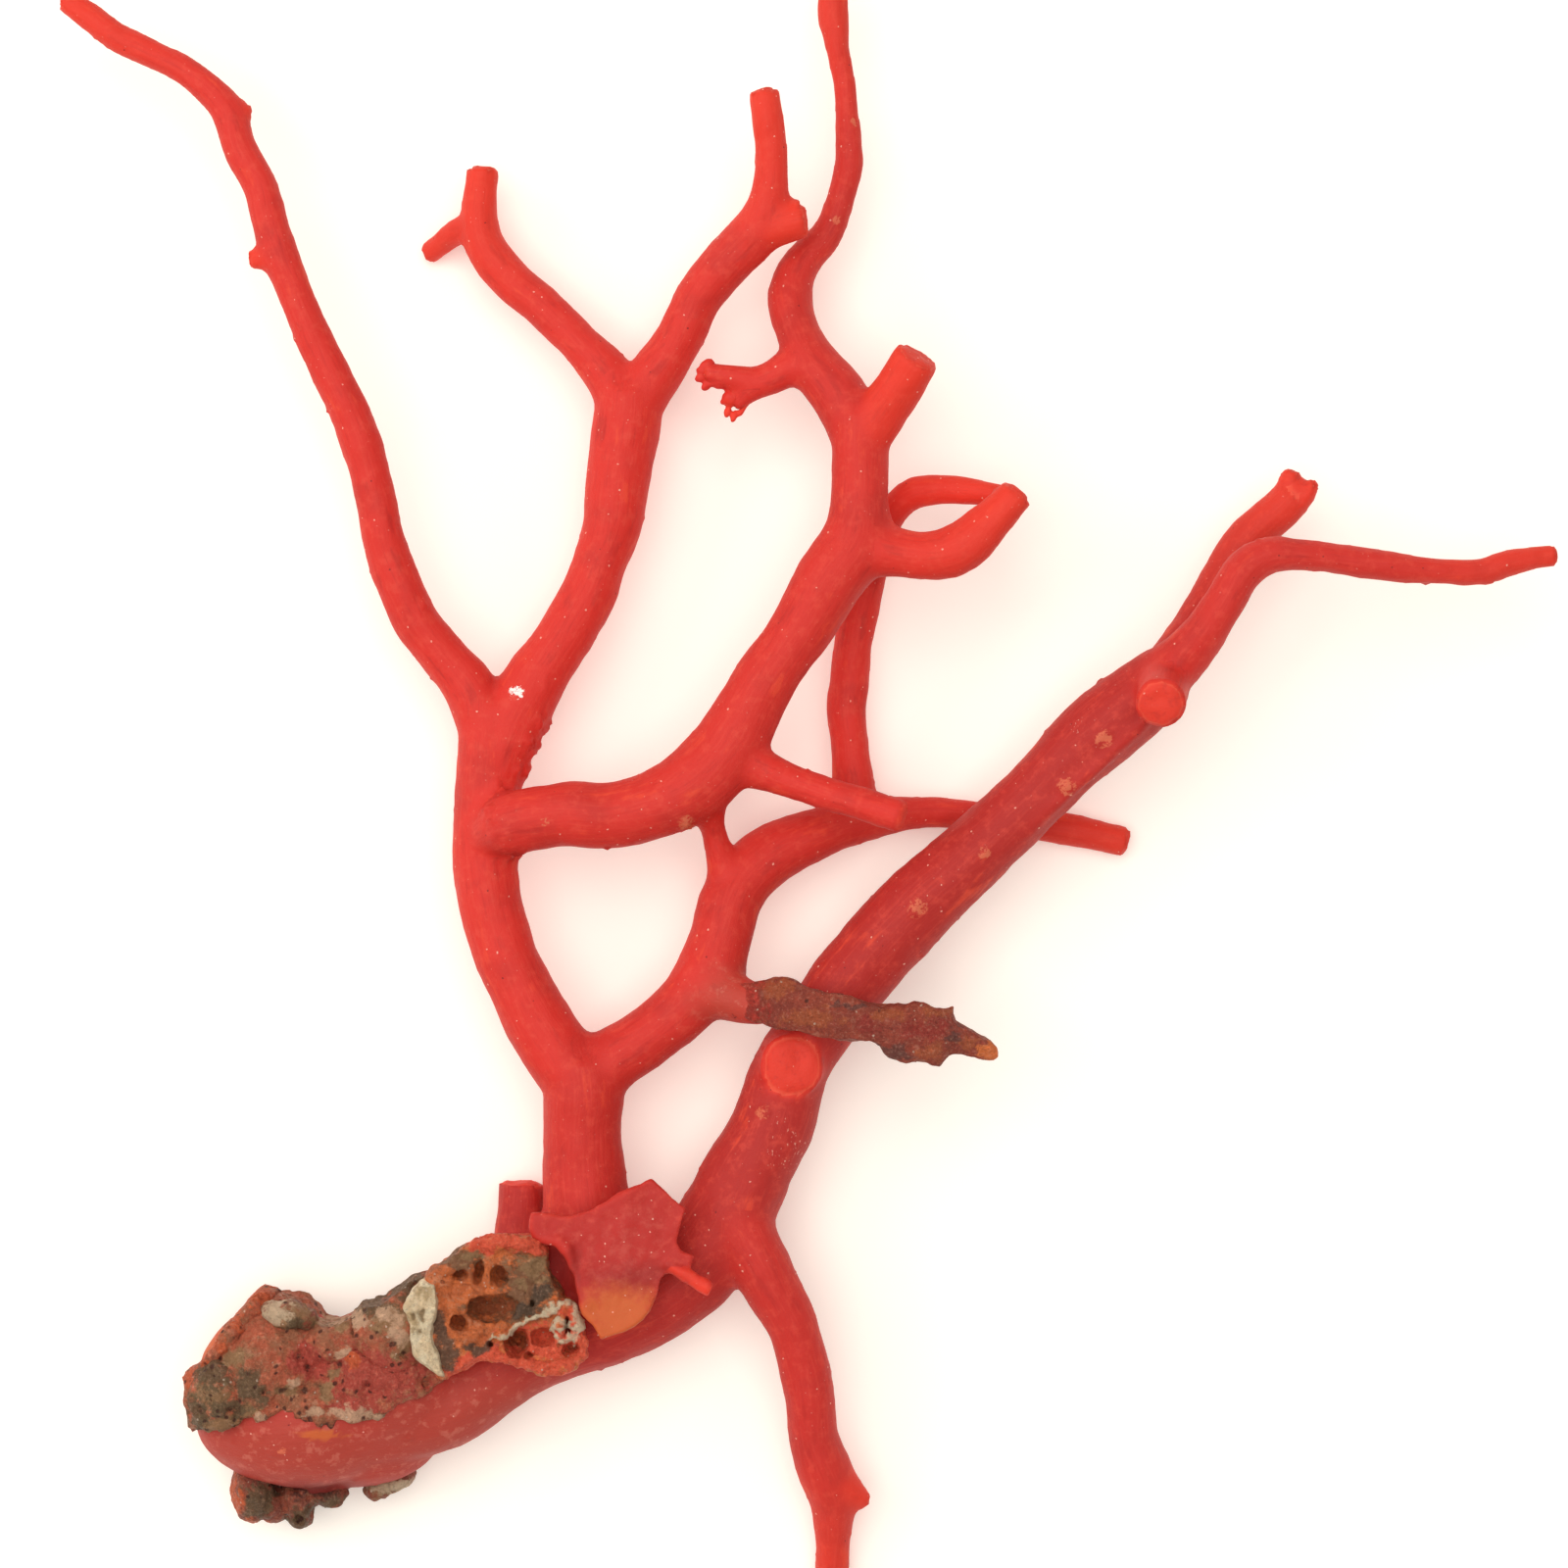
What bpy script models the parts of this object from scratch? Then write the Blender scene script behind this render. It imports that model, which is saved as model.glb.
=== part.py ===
"""A branch of red coral as it was broken from its rock, lying on a table.

It is one grown skeleton. It is modelled as round tapering branches, lumps and a broken web, which
are fused, smoothed, cut flat where the foot left the rock, and then sawn at the main forks, so that
every branch is a solid of its own. Lengths are millimetres until the meshes are made, in metres.
"""

import math

import bmesh
import bpy
from mathutils import Matrix, Vector

MM = 0.001

# The middle of the coral's bounding box in the plane of the table, from the middle of the routes' own
# coordinates. The part's origin is there, on the table.
BOX_MIDDLE = Vector((1.88, -0.43))

ROUTE_STEP = 1.2
TUBE_RESOLUTION = 4
LUMP_SUBDIVISIONS = 3
HOLLOW_SUBDIVISIONS = 2

FUSE_VOXEL = 0.40
FORK_SMOOTHING_STEPS = 8
FORK_SMOOTHING_FACTOR = 0.5
KEPT_SHARE_OF_FACES = 0.034

SAW_KERF = 0.3
SAW_REACH = 1.4
NAME_REACH = 3.0
TABLE_DEPTH = 10.0

WEB_THICKNESS = 1.7
WEB_HEIGHT = 13.4
WEB_TILT_DEG = (-6.0, 7.0)

# Each branch's centre line from where it grows out of its parent: x, y, height over the table, radius.
BRANCHES = {
    "main_stem": (
        (-36.0, -54.0, 6.3, 5.4),
        (-29.7, -53.4, 6.0, 4.6),
        (-25.8, -51.0, 5.6, 4.3),
        (-21.5, -48.5, 5.5, 4.2),
        (-13.5, -45.4, 5.8, 4.3),
        (-8.2, -42.0, 6.3, 4.3),
        (-4.8, -37.2, 6.9, 4.1),
        (-3.0, -33.5, 7.1, 3.8),
    ),
    "left_trunk": (
        (-15.0, -44.0, 6.0, 3.9),
        (-16.6, -39.5, 6.2, 3.9),
        (-17.3, -35.0, 6.4, 3.75),
        (-17.5, -30.0, 6.7, 3.55),
        (-17.3, -26.5, 7.0, 3.6),
        (-17.6, -23.8, 7.2, 3.3),
    ),
    "left_limb": (
        (-17.6, -26.0, 7.0, 3.2),
        (-21.9, -19.5, 7.4, 2.95),
        (-24.6, -13.3, 7.4, 2.8),
        (-25.8, -8.0, 7.2, 2.85),
        (-25.9, -3.0, 7.0, 2.85),
        (-25.7, 3.0, 6.9, 2.8),
        (-25.3, 6.8, 6.9, 2.6),
    ),
    "outer_left_branch": (
        (-25.8, 4.5, 6.9, 2.5),
        (-27.2, 8.2, 7.1, 2.3),
        (-29.5, 11.2, 7.4, 2.05),
        (-31.8, 14.2, 7.9, 2.0),
        (-34.4, 20.3, 8.8, 1.95),
        (-35.2, 25.0, 9.4, 1.8),
        (-37.0, 31.0, 10.1, 1.8),
        (-40.0, 37.5, 10.7, 1.7),
        (-42.2, 42.6, 11.0, 1.6),
        (-43.8, 47.0, 11.0, 1.65),
        (-44.8, 51.0, 10.9, 1.6),
        (-46.7, 54.5, 10.7, 1.5),
        (-47.9, 58.0, 10.5, 1.55),
        (-51.1, 61.1, 10.2, 1.35),
        (-54.6, 63.0, 9.9, 1.25),
        (-57.1, 64.1, 9.6, 1.25),
        (-59.6, 65.9, 9.3, 1.2),
        (-62.2, 67.9, 9.0, 1.2),
    ),
    "inner_left_branch": (
        (-24.6, 2.5, 6.9, 2.6),
        (-23.2, 6.2, 6.8, 2.9),
        (-19.1, 12.8, 6.5, 2.55),
        (-17.0, 16.5, 6.3, 2.45),
        (-16.1, 19.0, 6.2, 2.4),
        (-14.9, 22.5, 6.2, 2.7),
        (-14.3, 27.5, 6.3, 2.8),
        (-13.7, 31.0, 6.4, 3.0),
        (-13.4, 34.2, 6.5, 3.0),
    ),
    "inner_left_twig": (
        (-13.8, 33.0, 6.5, 2.4),
        (-15.6, 35.9, 6.3, 2.2),
        (-18.0, 38.5, 5.9, 1.85),
        (-21.0, 41.5, 5.3, 1.85),
        (-24.2, 44.3, 4.7, 1.85),
        (-26.1, 47.0, 4.4, 1.8),
        (-26.6, 50.0, 4.6, 1.6),
        (-26.3, 53.9, 5.2, 1.4),
    ),
    "inner_right_twig": (
        (-13.0, 33.0, 6.5, 2.6),
        (-10.8, 36.0, 6.7, 2.35),
        (-9.2, 38.4, 7.0, 2.15),
        (-7.3, 42.4, 7.7, 2.15),
        (-4.6, 45.4, 8.8, 2.15),
        (-2.3, 47.7, 9.8, 2.15),
        (-1.3, 50.5, 10.6, 1.7),
        (-1.1, 53.4, 11.3, 1.5),
        (-1.3, 56.3, 11.9, 1.4),
        (-1.8, 59.5, 12.4, 1.2),
    ),
    "middle_limb": (
        (-25.6, -4.4, 8.8, 1.9),
        (-23.4, -3.4, 10.3, 2.7),
        (-19.0, -2.6, 11.0, 2.9),
        (-15.0, -2.7, 11.2, 2.9),
        (-11.0, -1.8, 11.2, 3.05),
        (-7.5, 0.2, 11.2, 3.3),
        (-4.6, 3.5, 11.2, 3.2),
        (-1.4, 9.2, 11.4, 2.65),
        (1.5, 13.5, 11.5, 2.75),
        (3.9, 17.5, 11.6, 3.0),
        (6.2, 21.0, 11.5, 3.0),
        (6.5, 25.0, 11.3, 2.5),
        (6.5, 28.0, 11.2, 2.5),
        (6.4, 31.5, 11.0, 2.7),
    ),
    "middle_top_twig": (
        (6.2, 30.0, 11.0, 2.4),
        (4.8, 33.2, 10.4, 2.5),
        (2.6, 36.0, 9.6, 2.4),
        (1.2, 39.0, 8.5, 1.95),
        (0.5, 42.5, 7.3, 1.9),
        (1.6, 45.5, 6.6, 1.7),
        (3.8, 47.9, 6.4, 1.4),
        (5.0, 51.0, 6.6, 1.3),
        (5.7, 54.0, 6.9, 1.4),
        (5.5, 57.5, 7.2, 1.2),
        (5.2, 61.0, 7.5, 1.15),
        (4.5, 64.0, 7.8, 1.15),
        (4.25, 67.5, 8.0, 1.4),
        (4.3, 71.3, 8.3, 1.3),
    ),
    "lower_limb": (
        (-17.0, -25.6, 7.0, 3.2),
        (-15.0, -24.0, 7.2, 2.9),
        (-12.0, -22.0, 7.6, 2.65),
        (-9.0, -19.6, 8.1, 2.75),
        (-6.5, -16.5, 8.2, 3.0),
        (-5.4, -13.0, 7.8, 2.75),
        (-4.2, -9.3, 7.0, 2.75),
        (-1.4, -6.4, 6.1, 2.65),
        (3.0, -4.3, 4.9, 2.35),
        (7.5, -3.0, 3.7, 2.0),
        (12.0, -2.5, 2.7, 1.55),
        (15.0, -2.65, 2.2, 1.35),
        (20.0, -3.3, 1.8, 1.3),
        (24.5, -3.9, 1.6, 1.4),
        (27.5, -4.5, 1.4, 1.4),
        (30.4, -5.2, 1.3, 1.4),
    ),
    "upright_twig": (
        (6.5, -3.0, 3.7, 2.1),
        (6.1, 0.5, 3.8, 1.95),
        (5.8, 3.5, 4.0, 1.75),
        (5.5, 6.5, 4.1, 1.75),
        (5.8, 10.0, 4.3, 1.7),
        (6.4, 14.0, 4.6, 1.75),
        (7.3, 18.0, 5.0, 1.6),
        (8.2, 21.5, 5.6, 1.45),
        (9.6, 24.0, 6.2, 1.4),
        (11.5, 25.3, 6.9, 1.3),
        (14.5, 25.5, 7.7, 1.25),
        (17.5, 25.1, 8.4, 1.2),
        (19.8, 24.5, 8.9, 1.1),
    ),
    "crusted_twig": (
        (-6.4, -17.8, 8.8, 2.4),
        (-2.5, -18.8, 11.0, 2.0),
        (1.0, -19.3, 13.2, 2.0),
        (5.0, -20.1, 14.3, 2.05),
        (8.5, -21.1, 14.8, 1.9),
        (11.5, -21.5, 15.1, 2.2),
        (14.0, -21.8, 15.3, 1.8),
        (16.3, -22.6, 15.5, 1.1),
        (18.4, -23.3, 15.7, 0.75),
    ),
    "low_branch": (
        (-4.2, -38.0, 7.8, 3.4),
        (-2.4, -41.0, 8.6, 2.8),
        (-0.9, -43.8, 8.4, 2.45),
        (0.8, -47.2, 7.8, 2.25),
        (2.0, -52.0, 6.8, 2.25),
        (2.6, -57.0, 5.6, 2.2),
        (3.7, -60.2, 4.7, 2.4),
        (4.4, -62.5, 3.9, 2.1),
        (4.3, -65.4, 3.0, 1.65),
        (4.2, -68.8, 1.9, 1.55),
        (4.1, -72.0, 0.95, 1.45),
    ),
    "right_trunk": (
        (-4.9, -37.4, 6.9, 4.0),
        (-3.4, -34.0, 7.1, 3.8),
        (-1.2, -30.0, 7.2, 3.6),
        (0.4, -25.0, 7.2, 3.4),
        (2.2, -22.0, 7.2, 3.25),
        (5.6, -17.2, 7.4, 3.4),
        (9.9, -12.2, 7.7, 3.45),
        (14.7, -7.5, 8.0, 3.25),
        (18.6, -3.8, 8.3, 3.05),
        (22.2, -0.4, 8.7, 3.0),
        (24.6, 2.2, 9.2, 3.05),
        (27.8, 5.2, 9.7, 3.4),
        (31.2, 7.9, 10.2, 3.1),
        (33.2, 9.6, 10.6, 2.8),
    ),
    "right_front_twig": (
        (32.0, 8.8, 10.6, 2.5),
        (34.1, 10.7, 12.1, 2.35),
        (35.8, 12.8, 13.3, 1.95),
        (37.8, 16.1, 14.2, 1.75),
        (39.2, 18.3, 14.4, 1.75),
        (41.2, 19.5, 14.4, 1.65),
        (44.2, 19.5, 14.2, 1.5),
        (49.1, 18.9, 13.4, 1.35),
        (54.1, 18.3, 12.8, 1.25),
        (59.1, 18.1, 12.0, 1.25),
        (61.8, 18.8, 11.7, 1.15),
        (64.2, 19.4, 11.4, 1.05),
        (66.4, 19.6, 11.2, 1.05),
    ),
    "right_back_twig": (
        (32.1, 8.3, 9.4, 2.5),
        (35.2, 13.0, 7.6, 2.1),
        (38.1, 17.9, 6.7, 1.85),
        (40.4, 21.5, 6.6, 1.8),
        (43.1, 23.9, 7.0, 1.85),
        (44.6, 26.6, 7.8, 1.9),
    ),
}

# Broken stubs and the small bridge, which stay part of the branch that they grow on.
STUBS = {
    "outer_left_nub": ((-43.5, 45.4, 11.0, 1.0), (-46.1, 44.8, 11.0, 0.85)),
    "outer_left_spur": ((-47.2, 57.6, 10.5, 0.9), (-45.6, 58.1, 10.5, 0.6)),
    "prop": ((-26.4, 49.0, 4.4, 1.3), (-28.6, 48.4, 3.2, 1.2), (-31.5, 46.7, 0.5, 1.05)),
    "inner_right_stub": ((-2.6, 47.8, 9.8, 2.0), (0.0, 48.5, 10.4, 1.85), (2.0, 49.0, 10.9, 1.4)),
    "frayed_sprig": (
        (0.9, 36.0, 9.6, 1.8),
        (-2.0, 34.7, 9.5, 1.5),
        (-4.5, 35.0, 9.8, 1.25),
        (-7.2, 35.5, 10.1, 1.0),
    ),
    "frayed_fork": ((-2.6, 34.2, 9.5, 1.1), (-3.9, 33.1, 9.4, 0.9), (-4.9, 31.9, 9.3, 0.7)),
    "middle_upper_stub": ((6.6, 29.6, 11.1, 2.4), (8.9, 32.6, 12.4, 2.15), (11.5, 36.5, 14.6, 2.0)),
    "middle_right_stub": (
        (6.2, 20.7, 11.5, 2.7),
        (10.5, 19.8, 12.0, 2.15),
        (13.5, 19.8, 12.4, 2.0),
        (15.9, 20.9, 12.8, 1.85),
        (18.0, 22.9, 13.2, 1.6),
        (20.1, 25.1, 13.6, 1.45),
    ),
    "middle_lower_stub": (
        (-4.4, 2.2, 11.2, 2.4),
        (-0.2, 0.6, 12.0, 1.6),
        (4.0, -0.9, 13.0, 1.5),
        (7.5, -2.0, 14.0, 1.55),
        (10.4, -2.9, 15.0, 1.5),
    ),
    "bridge": ((-6.6, -2.0, 10.0, 1.7), (-6.0, -4.4, 8.9, 1.15), (-5.0, -7.6, 7.6, 1.8)),
    "trunk_lower_stub": ((0.7, -24.4, 7.5, 2.9), (0.7, -24.6, 11.0, 2.75)),
    "trunk_upper_stub": ((32.6, 9.0, 11.0, 2.4), (32.3, 7.9, 14.0, 2.2), (31.8, 6.7, 17.5, 2.15)),
    "back_twig_left_knob": ((44.3, 26.0, 7.6, 1.2), (43.8, 27.6, 7.9, 1.05)),
    "back_twig_right_knob": ((44.6, 26.0, 8.0, 1.2), (46.0, 26.2, 8.4, 1.0)),
    "front_twig_nub": ((59.8, 18.1, 11.9, 0.9), (60.8, 17.0, 11.9, 0.5)),
    "low_branch_spur": ((4.6, -61.0, 4.6, 2.0), (7.5, -63.0, 4.2, 0.6)),
    "rear_stump": ((-24.2, -44.0, 4.2, 2.5), (-23.6, -39.0, 2.9, 2.3), (-23.1, -34.8, 2.6, 2.15)),
    "web_peg": ((-9.8, -41.0, 13.1, 1.0), (-6.6, -43.5, 13.6, 0.75)),
}

# The foot's lumps: middle x, y and height, then the half-lengths along, across and up, and the turn
# in the plane of the table, in degrees.
FOOT_LUMPS = (
    ((-41.5, -54.5, 6.0), (9.8, 6.6, 6.6), 4.0),
    ((-44.5, -51.0, 6.6), (6.6, 5.8, 6.0), 40.0),
    ((-35.5, -52.0, 6.6), (8.6, 6.4, 6.2), 20.0),
    ((-36.0, -57.0, 4.6), (6.5, 4.2, 4.6), 12.0),
    ((-43.0, -46.6, 6.4), (2.7, 2.0, 2.4), -5.0),
    ((-46.0, -61.0, 3.6), (2.5, 3.7, 3.4), 0.0),
    ((-42.3, -62.0, 3.6), (1.5, 3.0, 2.4), -8.0),
    ((-39.8, -60.8, 3.8), (1.8, 2.0, 2.2), 0.0),
    ((-34.0, -60.0, 3.2), (2.4, 2.0, 2.2), 25.0),
    ((-20.6, -47.4, 11.0), (3.0, 2.7, 2.8), 0.0),
)

# The broken stump on the foot, bored hollow, as a branch route, and the bored hollows in its end.
BORED_STUMP = (
    (-29.5, -49.0, 6.0, 6.0),
    (-26.5, -47.0, 9.0, 5.9),
    (-24.2, -45.4, 13.2, 5.7),
)
BORED_HOLLOWS = (
    ((-25.2, -45.6, 13.0), (2.3, 1.7, 4.2), 20.0),
    ((-28.2, -43.1, 13.4), (0.85, 0.75, 4.0), 0.0),
    ((-26.1, -42.1, 12.8), (0.85, 1.0, 3.4), 0.0),
    ((-24.6, -43.0, 13.0), (0.8, 1.0, 3.2), 0.0),
    ((-28.3, -46.6, 14.2), (0.8, 1.1, 3.6), 15.0),
    ((-21.9, -43.9, 13.8), (1.7, 2.3, 2.2), 20.0),
    ((-23.0, -48.6, 13.0), (1.3, 1.0, 3.6), 20.0),
    ((-19.6, -47.0, 13.6), (0.9, 1.2, 3.0), 10.0),
)

# The broken web's outline, on the table's plane, and the neck that it stands on.
WEB_OUTLINE = (
    (-21.7, -37.3), (-19.5, -37.6), (-16.6, -36.9), (-13.9, -35.4), (-11.5, -34.2),
    (-10.0, -35.2), (-8.5, -36.5), (-9.1, -38.4), (-9.3, -40.0), (-7.8, -40.8),
    (-8.6, -42.0), (-10.6, -42.4), (-11.4, -44.8), (-13.0, -46.8), (-15.8, -48.1),
    (-16.8, -46.3), (-18.4, -44.0), (-19.0, -41.0), (-21.8, -39.0),
)
WEB_NECK = ((-13.2, -43.4, 7.5, 2.4), (-13.2, -43.0, 10.6, 2.2), (-13.4, -42.4, 13.2, 2.4))

# How far along its own route each branch is sawn from what it grows on.
SAW_CUTS = {
    "main_stem": 30.0,
    "left_trunk": 6.6,
    "left_limb": 4.6,
    "outer_left_branch": 5.0,
    "inner_left_branch": 6.0,
    "inner_left_twig": 4.0,
    "inner_right_twig": 4.2,
    "middle_limb": 4.2,
    "middle_top_twig": 4.2,
    "lower_limb": 4.6,
    "upright_twig": 4.0,
    "crusted_twig": 3.4,
    "low_branch": 5.2,
    "right_trunk": 5.0,
    "right_front_twig": 4.4,
    "right_back_twig": 5.4,
    "bridge": 2.9,
}

CORAL_RED = (0.62, 0.045, 0.03)
DARK_CORAL_RED = (0.42, 0.028, 0.024)
PALE_CORAL_RED = (0.72, 0.075, 0.04)
CRUST_BROWN = (0.20, 0.062, 0.035)
FOOT_RED = (0.36, 0.07, 0.045)

NODE_COLOURS = {
    "foot": FOOT_RED,
    "broken_web": DARK_CORAL_RED,
    "crusted_twig": CRUST_BROWN,
    "main_stem": DARK_CORAL_RED,
    "right_trunk": DARK_CORAL_RED,
    "outer_left_branch": PALE_CORAL_RED,
}
CORAL_ROUGHNESS = 0.45


def smooth_route(points):
    """Points every ROUTE_STEP on a Catmull-Rom curve through a route's own points, radius included."""
    rows = [Vector(point) for point in points]
    rows = [2 * rows[0] - rows[1], *rows, 2 * rows[-1] - rows[-2]]
    made = []
    for before, start, end, after in zip(rows, rows[1:], rows[2:], rows[3:]):
        pieces = max(1, round((end.xyz - start.xyz).length / ROUTE_STEP))
        for piece in range(pieces):
            t = piece / pieces
            made.append(0.5 * (
                2 * start
                + (end - before) * t
                + (2 * before - 5 * start + 4 * end - after) * t ** 2
                + (3 * start - before - 3 * end + after) * t ** 3
            ))
    made.append(rows[-2])
    return made


def in_part_frame(x, y, height):
    """A point of the routes as a place in the part's own frame, in metres."""
    return Vector((x - BOX_MIDDLE.x, y - BOX_MIDDLE.y, height)) * MM


def as_mesh(obj):
    """A curve object's evaluated mesh as a bmesh, in world space, with its caps welded on."""
    graph = bpy.context.evaluated_depsgraph_get()
    mesh = bpy.data.meshes.new_from_object(obj.evaluated_get(graph))
    made = bmesh.new()
    made.from_mesh(mesh)
    made.transform(obj.matrix_world)
    bmesh.ops.remove_doubles(made, verts=made.verts, dist=0.00001)
    bpy.data.meshes.remove(mesh)
    return made


def add_curve(name, dimensions):
    curve = bpy.data.curves.new(name, "CURVE")
    curve.dimensions = dimensions
    obj = bpy.data.objects.new(name, curve)
    bpy.context.scene.collection.objects.link(obj)
    return obj


def tube(route):
    """A tapering round tube with flat ends along a route."""
    obj = add_curve("tube", "3D")
    curve = obj.data
    curve.bevel_depth = MM
    curve.bevel_resolution = TUBE_RESOLUTION
    curve.use_fill_caps = True
    spline = curve.splines.new("POLY")
    rows = smooth_route(route)
    spline.points.add(len(rows) - 1)
    for point, row in zip(spline.points, rows):
        point.co = (*in_part_frame(*row.xyz), 1.0)
        point.radius = row.w
    bpy.context.view_layer.update()
    made = as_mesh(obj)
    bpy.data.objects.remove(obj)
    return made


def lump(middle, half_lengths, turn_deg, subdivisions=LUMP_SUBDIVISIONS):
    """An ellipsoid."""
    made = bmesh.new()
    place = Matrix.Translation(in_part_frame(*middle))
    turn = Matrix.Rotation(math.radians(turn_deg), 4, "Z")
    size = Matrix.Diagonal((*half_lengths, 1.0))
    bmesh.ops.create_icosphere(
        made, subdivisions=subdivisions, radius=MM, matrix=place @ turn @ size
    )
    return made


def broken_web():
    """The thin broken plate: its outline as a flat curve with thickness, tilted over the foot of the trunks."""
    obj = add_curve("web", "2D")
    curve = obj.data
    curve.fill_mode = "BOTH"
    curve.extrude = WEB_THICKNESS / 2 * MM
    spline = curve.splines.new("POLY")
    spline.points.add(len(WEB_OUTLINE) - 1)
    middle = sum((Vector(corner) for corner in WEB_OUTLINE), Vector((0, 0))) / len(WEB_OUTLINE)
    for point, corner in zip(spline.points, WEB_OUTLINE):
        point.co = (*(Vector(corner) - middle) * MM, 0.0, 1.0)
    spline.use_cyclic_u = True
    obj.location = in_part_frame(*middle, WEB_HEIGHT)
    obj.rotation_euler = [math.radians(angle) for angle in (*WEB_TILT_DEG, 0.0)]
    bpy.context.view_layer.update()
    made = as_mesh(obj)
    bpy.data.objects.remove(obj)
    return made


def joined(name, shapes, collection):
    """One object that holds several bmeshes, still unfused."""
    mesh = bpy.data.meshes.new(name)
    whole = bmesh.new()
    for shape in shapes:
        shape.to_mesh(mesh)
        whole.from_mesh(mesh)
        shape.free()
    whole.to_mesh(mesh)
    whole.free()
    obj = bpy.data.objects.new(name, mesh)
    collection.objects.link(obj)
    return obj


def apply_modifiers(obj):
    graph = bpy.context.evaluated_depsgraph_get()
    mesh = bpy.data.meshes.new_from_object(obj.evaluated_get(graph))
    obj.modifiers.clear()
    obj.data = mesh


def fuse(obj):
    """Makes one smooth skin of the shapes, with rounded forks, and keeps only the faces that it needs."""
    remesh = obj.modifiers.new("fuse", "REMESH")
    remesh.mode = "VOXEL"
    remesh.voxel_size = FUSE_VOXEL * MM
    smooth = obj.modifiers.new("round the forks", "SMOOTH")
    smooth.factor = FORK_SMOOTHING_FACTOR
    smooth.iterations = FORK_SMOOTHING_STEPS
    decimate = obj.modifiers.new("fewer faces", "DECIMATE")
    decimate.ratio = KEPT_SHARE_OF_FACES
    apply_modifiers(obj)


def as_cutter(obj):
    obj.hide_render = True
    obj.display_type = "WIRE"
    return obj


def cut(obj, cutter):
    """Takes a cutter, whose own shapes may cross each other, out of an object."""
    boolean = obj.modifiers.new(cutter.name, "BOOLEAN")
    boolean.operation = "DIFFERENCE"
    boolean.object = cutter
    boolean.use_self = True
    apply_modifiers(obj)


def table_block(size):
    """A block whose top is the table, which cuts the foot flat where it left the rock."""
    made = bmesh.new()
    place = Matrix.Translation((0, 0, -TABLE_DEPTH / 2 * MM))
    bmesh.ops.create_cube(made, size=MM, matrix=place @ Matrix.Diagonal((size, size, TABLE_DEPTH, 1.0)))
    return made


def along(route, distance):
    """The point at a distance along a route, and the direction that the route has there."""
    rows = smooth_route(route)
    run = 0.0
    for start, end in zip(rows, rows[1:]):
        run += (end.xyz - start.xyz).length
        if run >= distance:
            break
    return end, end.xyz - start.xyz


def saw_disc(route_name):
    """A thin disc across a branch, at its saw cut."""
    end, direction = along({**BRANCHES, **STUBS}[route_name], SAW_CUTS[route_name])
    turn = direction.to_track_quat("Z", "Y").to_matrix().to_4x4()
    made = bmesh.new()
    bmesh.ops.create_cone(
        made,
        cap_ends=True,
        segments=24,
        radius1=SAW_REACH * end.w * MM,
        radius2=SAW_REACH * end.w * MM,
        depth=SAW_KERF * MM,
        matrix=Matrix.Translation(in_part_frame(*end.xyz)) @ turn,
    )
    return made


def web_disc():
    """The saw cut through the neck of the broken web, level with the table."""
    made = bmesh.new()
    x, y, height, radius = WEB_NECK[1]
    place = Matrix.Translation(in_part_frame(x, y, height + SAW_KERF))
    bmesh.ops.create_cone(
        made, cap_ends=True, segments=24, radius1=SAW_REACH * radius * MM,
        radius2=SAW_REACH * radius * MM, depth=SAW_KERF * MM, matrix=place,
    )
    return made


def split_loose(obj):
    """The object's separate bodies, each as its own object."""
    before = set(bpy.data.objects)
    bpy.context.view_layer.objects.active = obj
    obj.select_set(True)
    bpy.ops.object.mode_set(mode="EDIT")
    bpy.ops.mesh.select_all(action="SELECT")
    bpy.ops.mesh.separate(type="LOOSE")
    bpy.ops.object.mode_set(mode="OBJECT")
    return [obj, *(set(bpy.data.objects) - before)]


def name_point(name):
    """A point inside the body of that name, a little way beyond its saw cut."""
    if name == "foot":
        return in_part_frame(*FOOT_LUMPS[0][0])
    if name == "broken_web":
        return in_part_frame(WEB_NECK[-1][0], WEB_NECK[-1][1], WEB_HEIGHT)
    point, _ = along(BRANCHES[name], SAW_CUTS[name] + NAME_REACH)
    return in_part_frame(*point.xyz)


def nearest_distance(obj, point):
    return min((vertex.co - point).length for vertex in obj.data.vertices)


def finish(name, obj):
    """Gives a solid its name, its material and smooth shading."""
    obj.name = name
    obj.data.name = name
    material = bpy.data.materials.new(name)
    material.use_nodes = True
    shader = material.node_tree.nodes["Principled BSDF"]
    shader.inputs["Base Color"].default_value = (*NODE_COLOURS.get(name, CORAL_RED), 1.0)
    shader.inputs["Roughness"].default_value = CORAL_ROUGHNESS
    shader.inputs["Metallic"].default_value = 0.0
    obj.data.materials.clear()
    obj.data.materials.append(material)
    obj.data.shade_smooth()
    obj.data.set_sharp_from_angle(angle=math.radians(50))


def collection_named(name):
    collection = bpy.data.collections.new(name)
    bpy.context.scene.collection.children.link(collection)
    return collection


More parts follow.
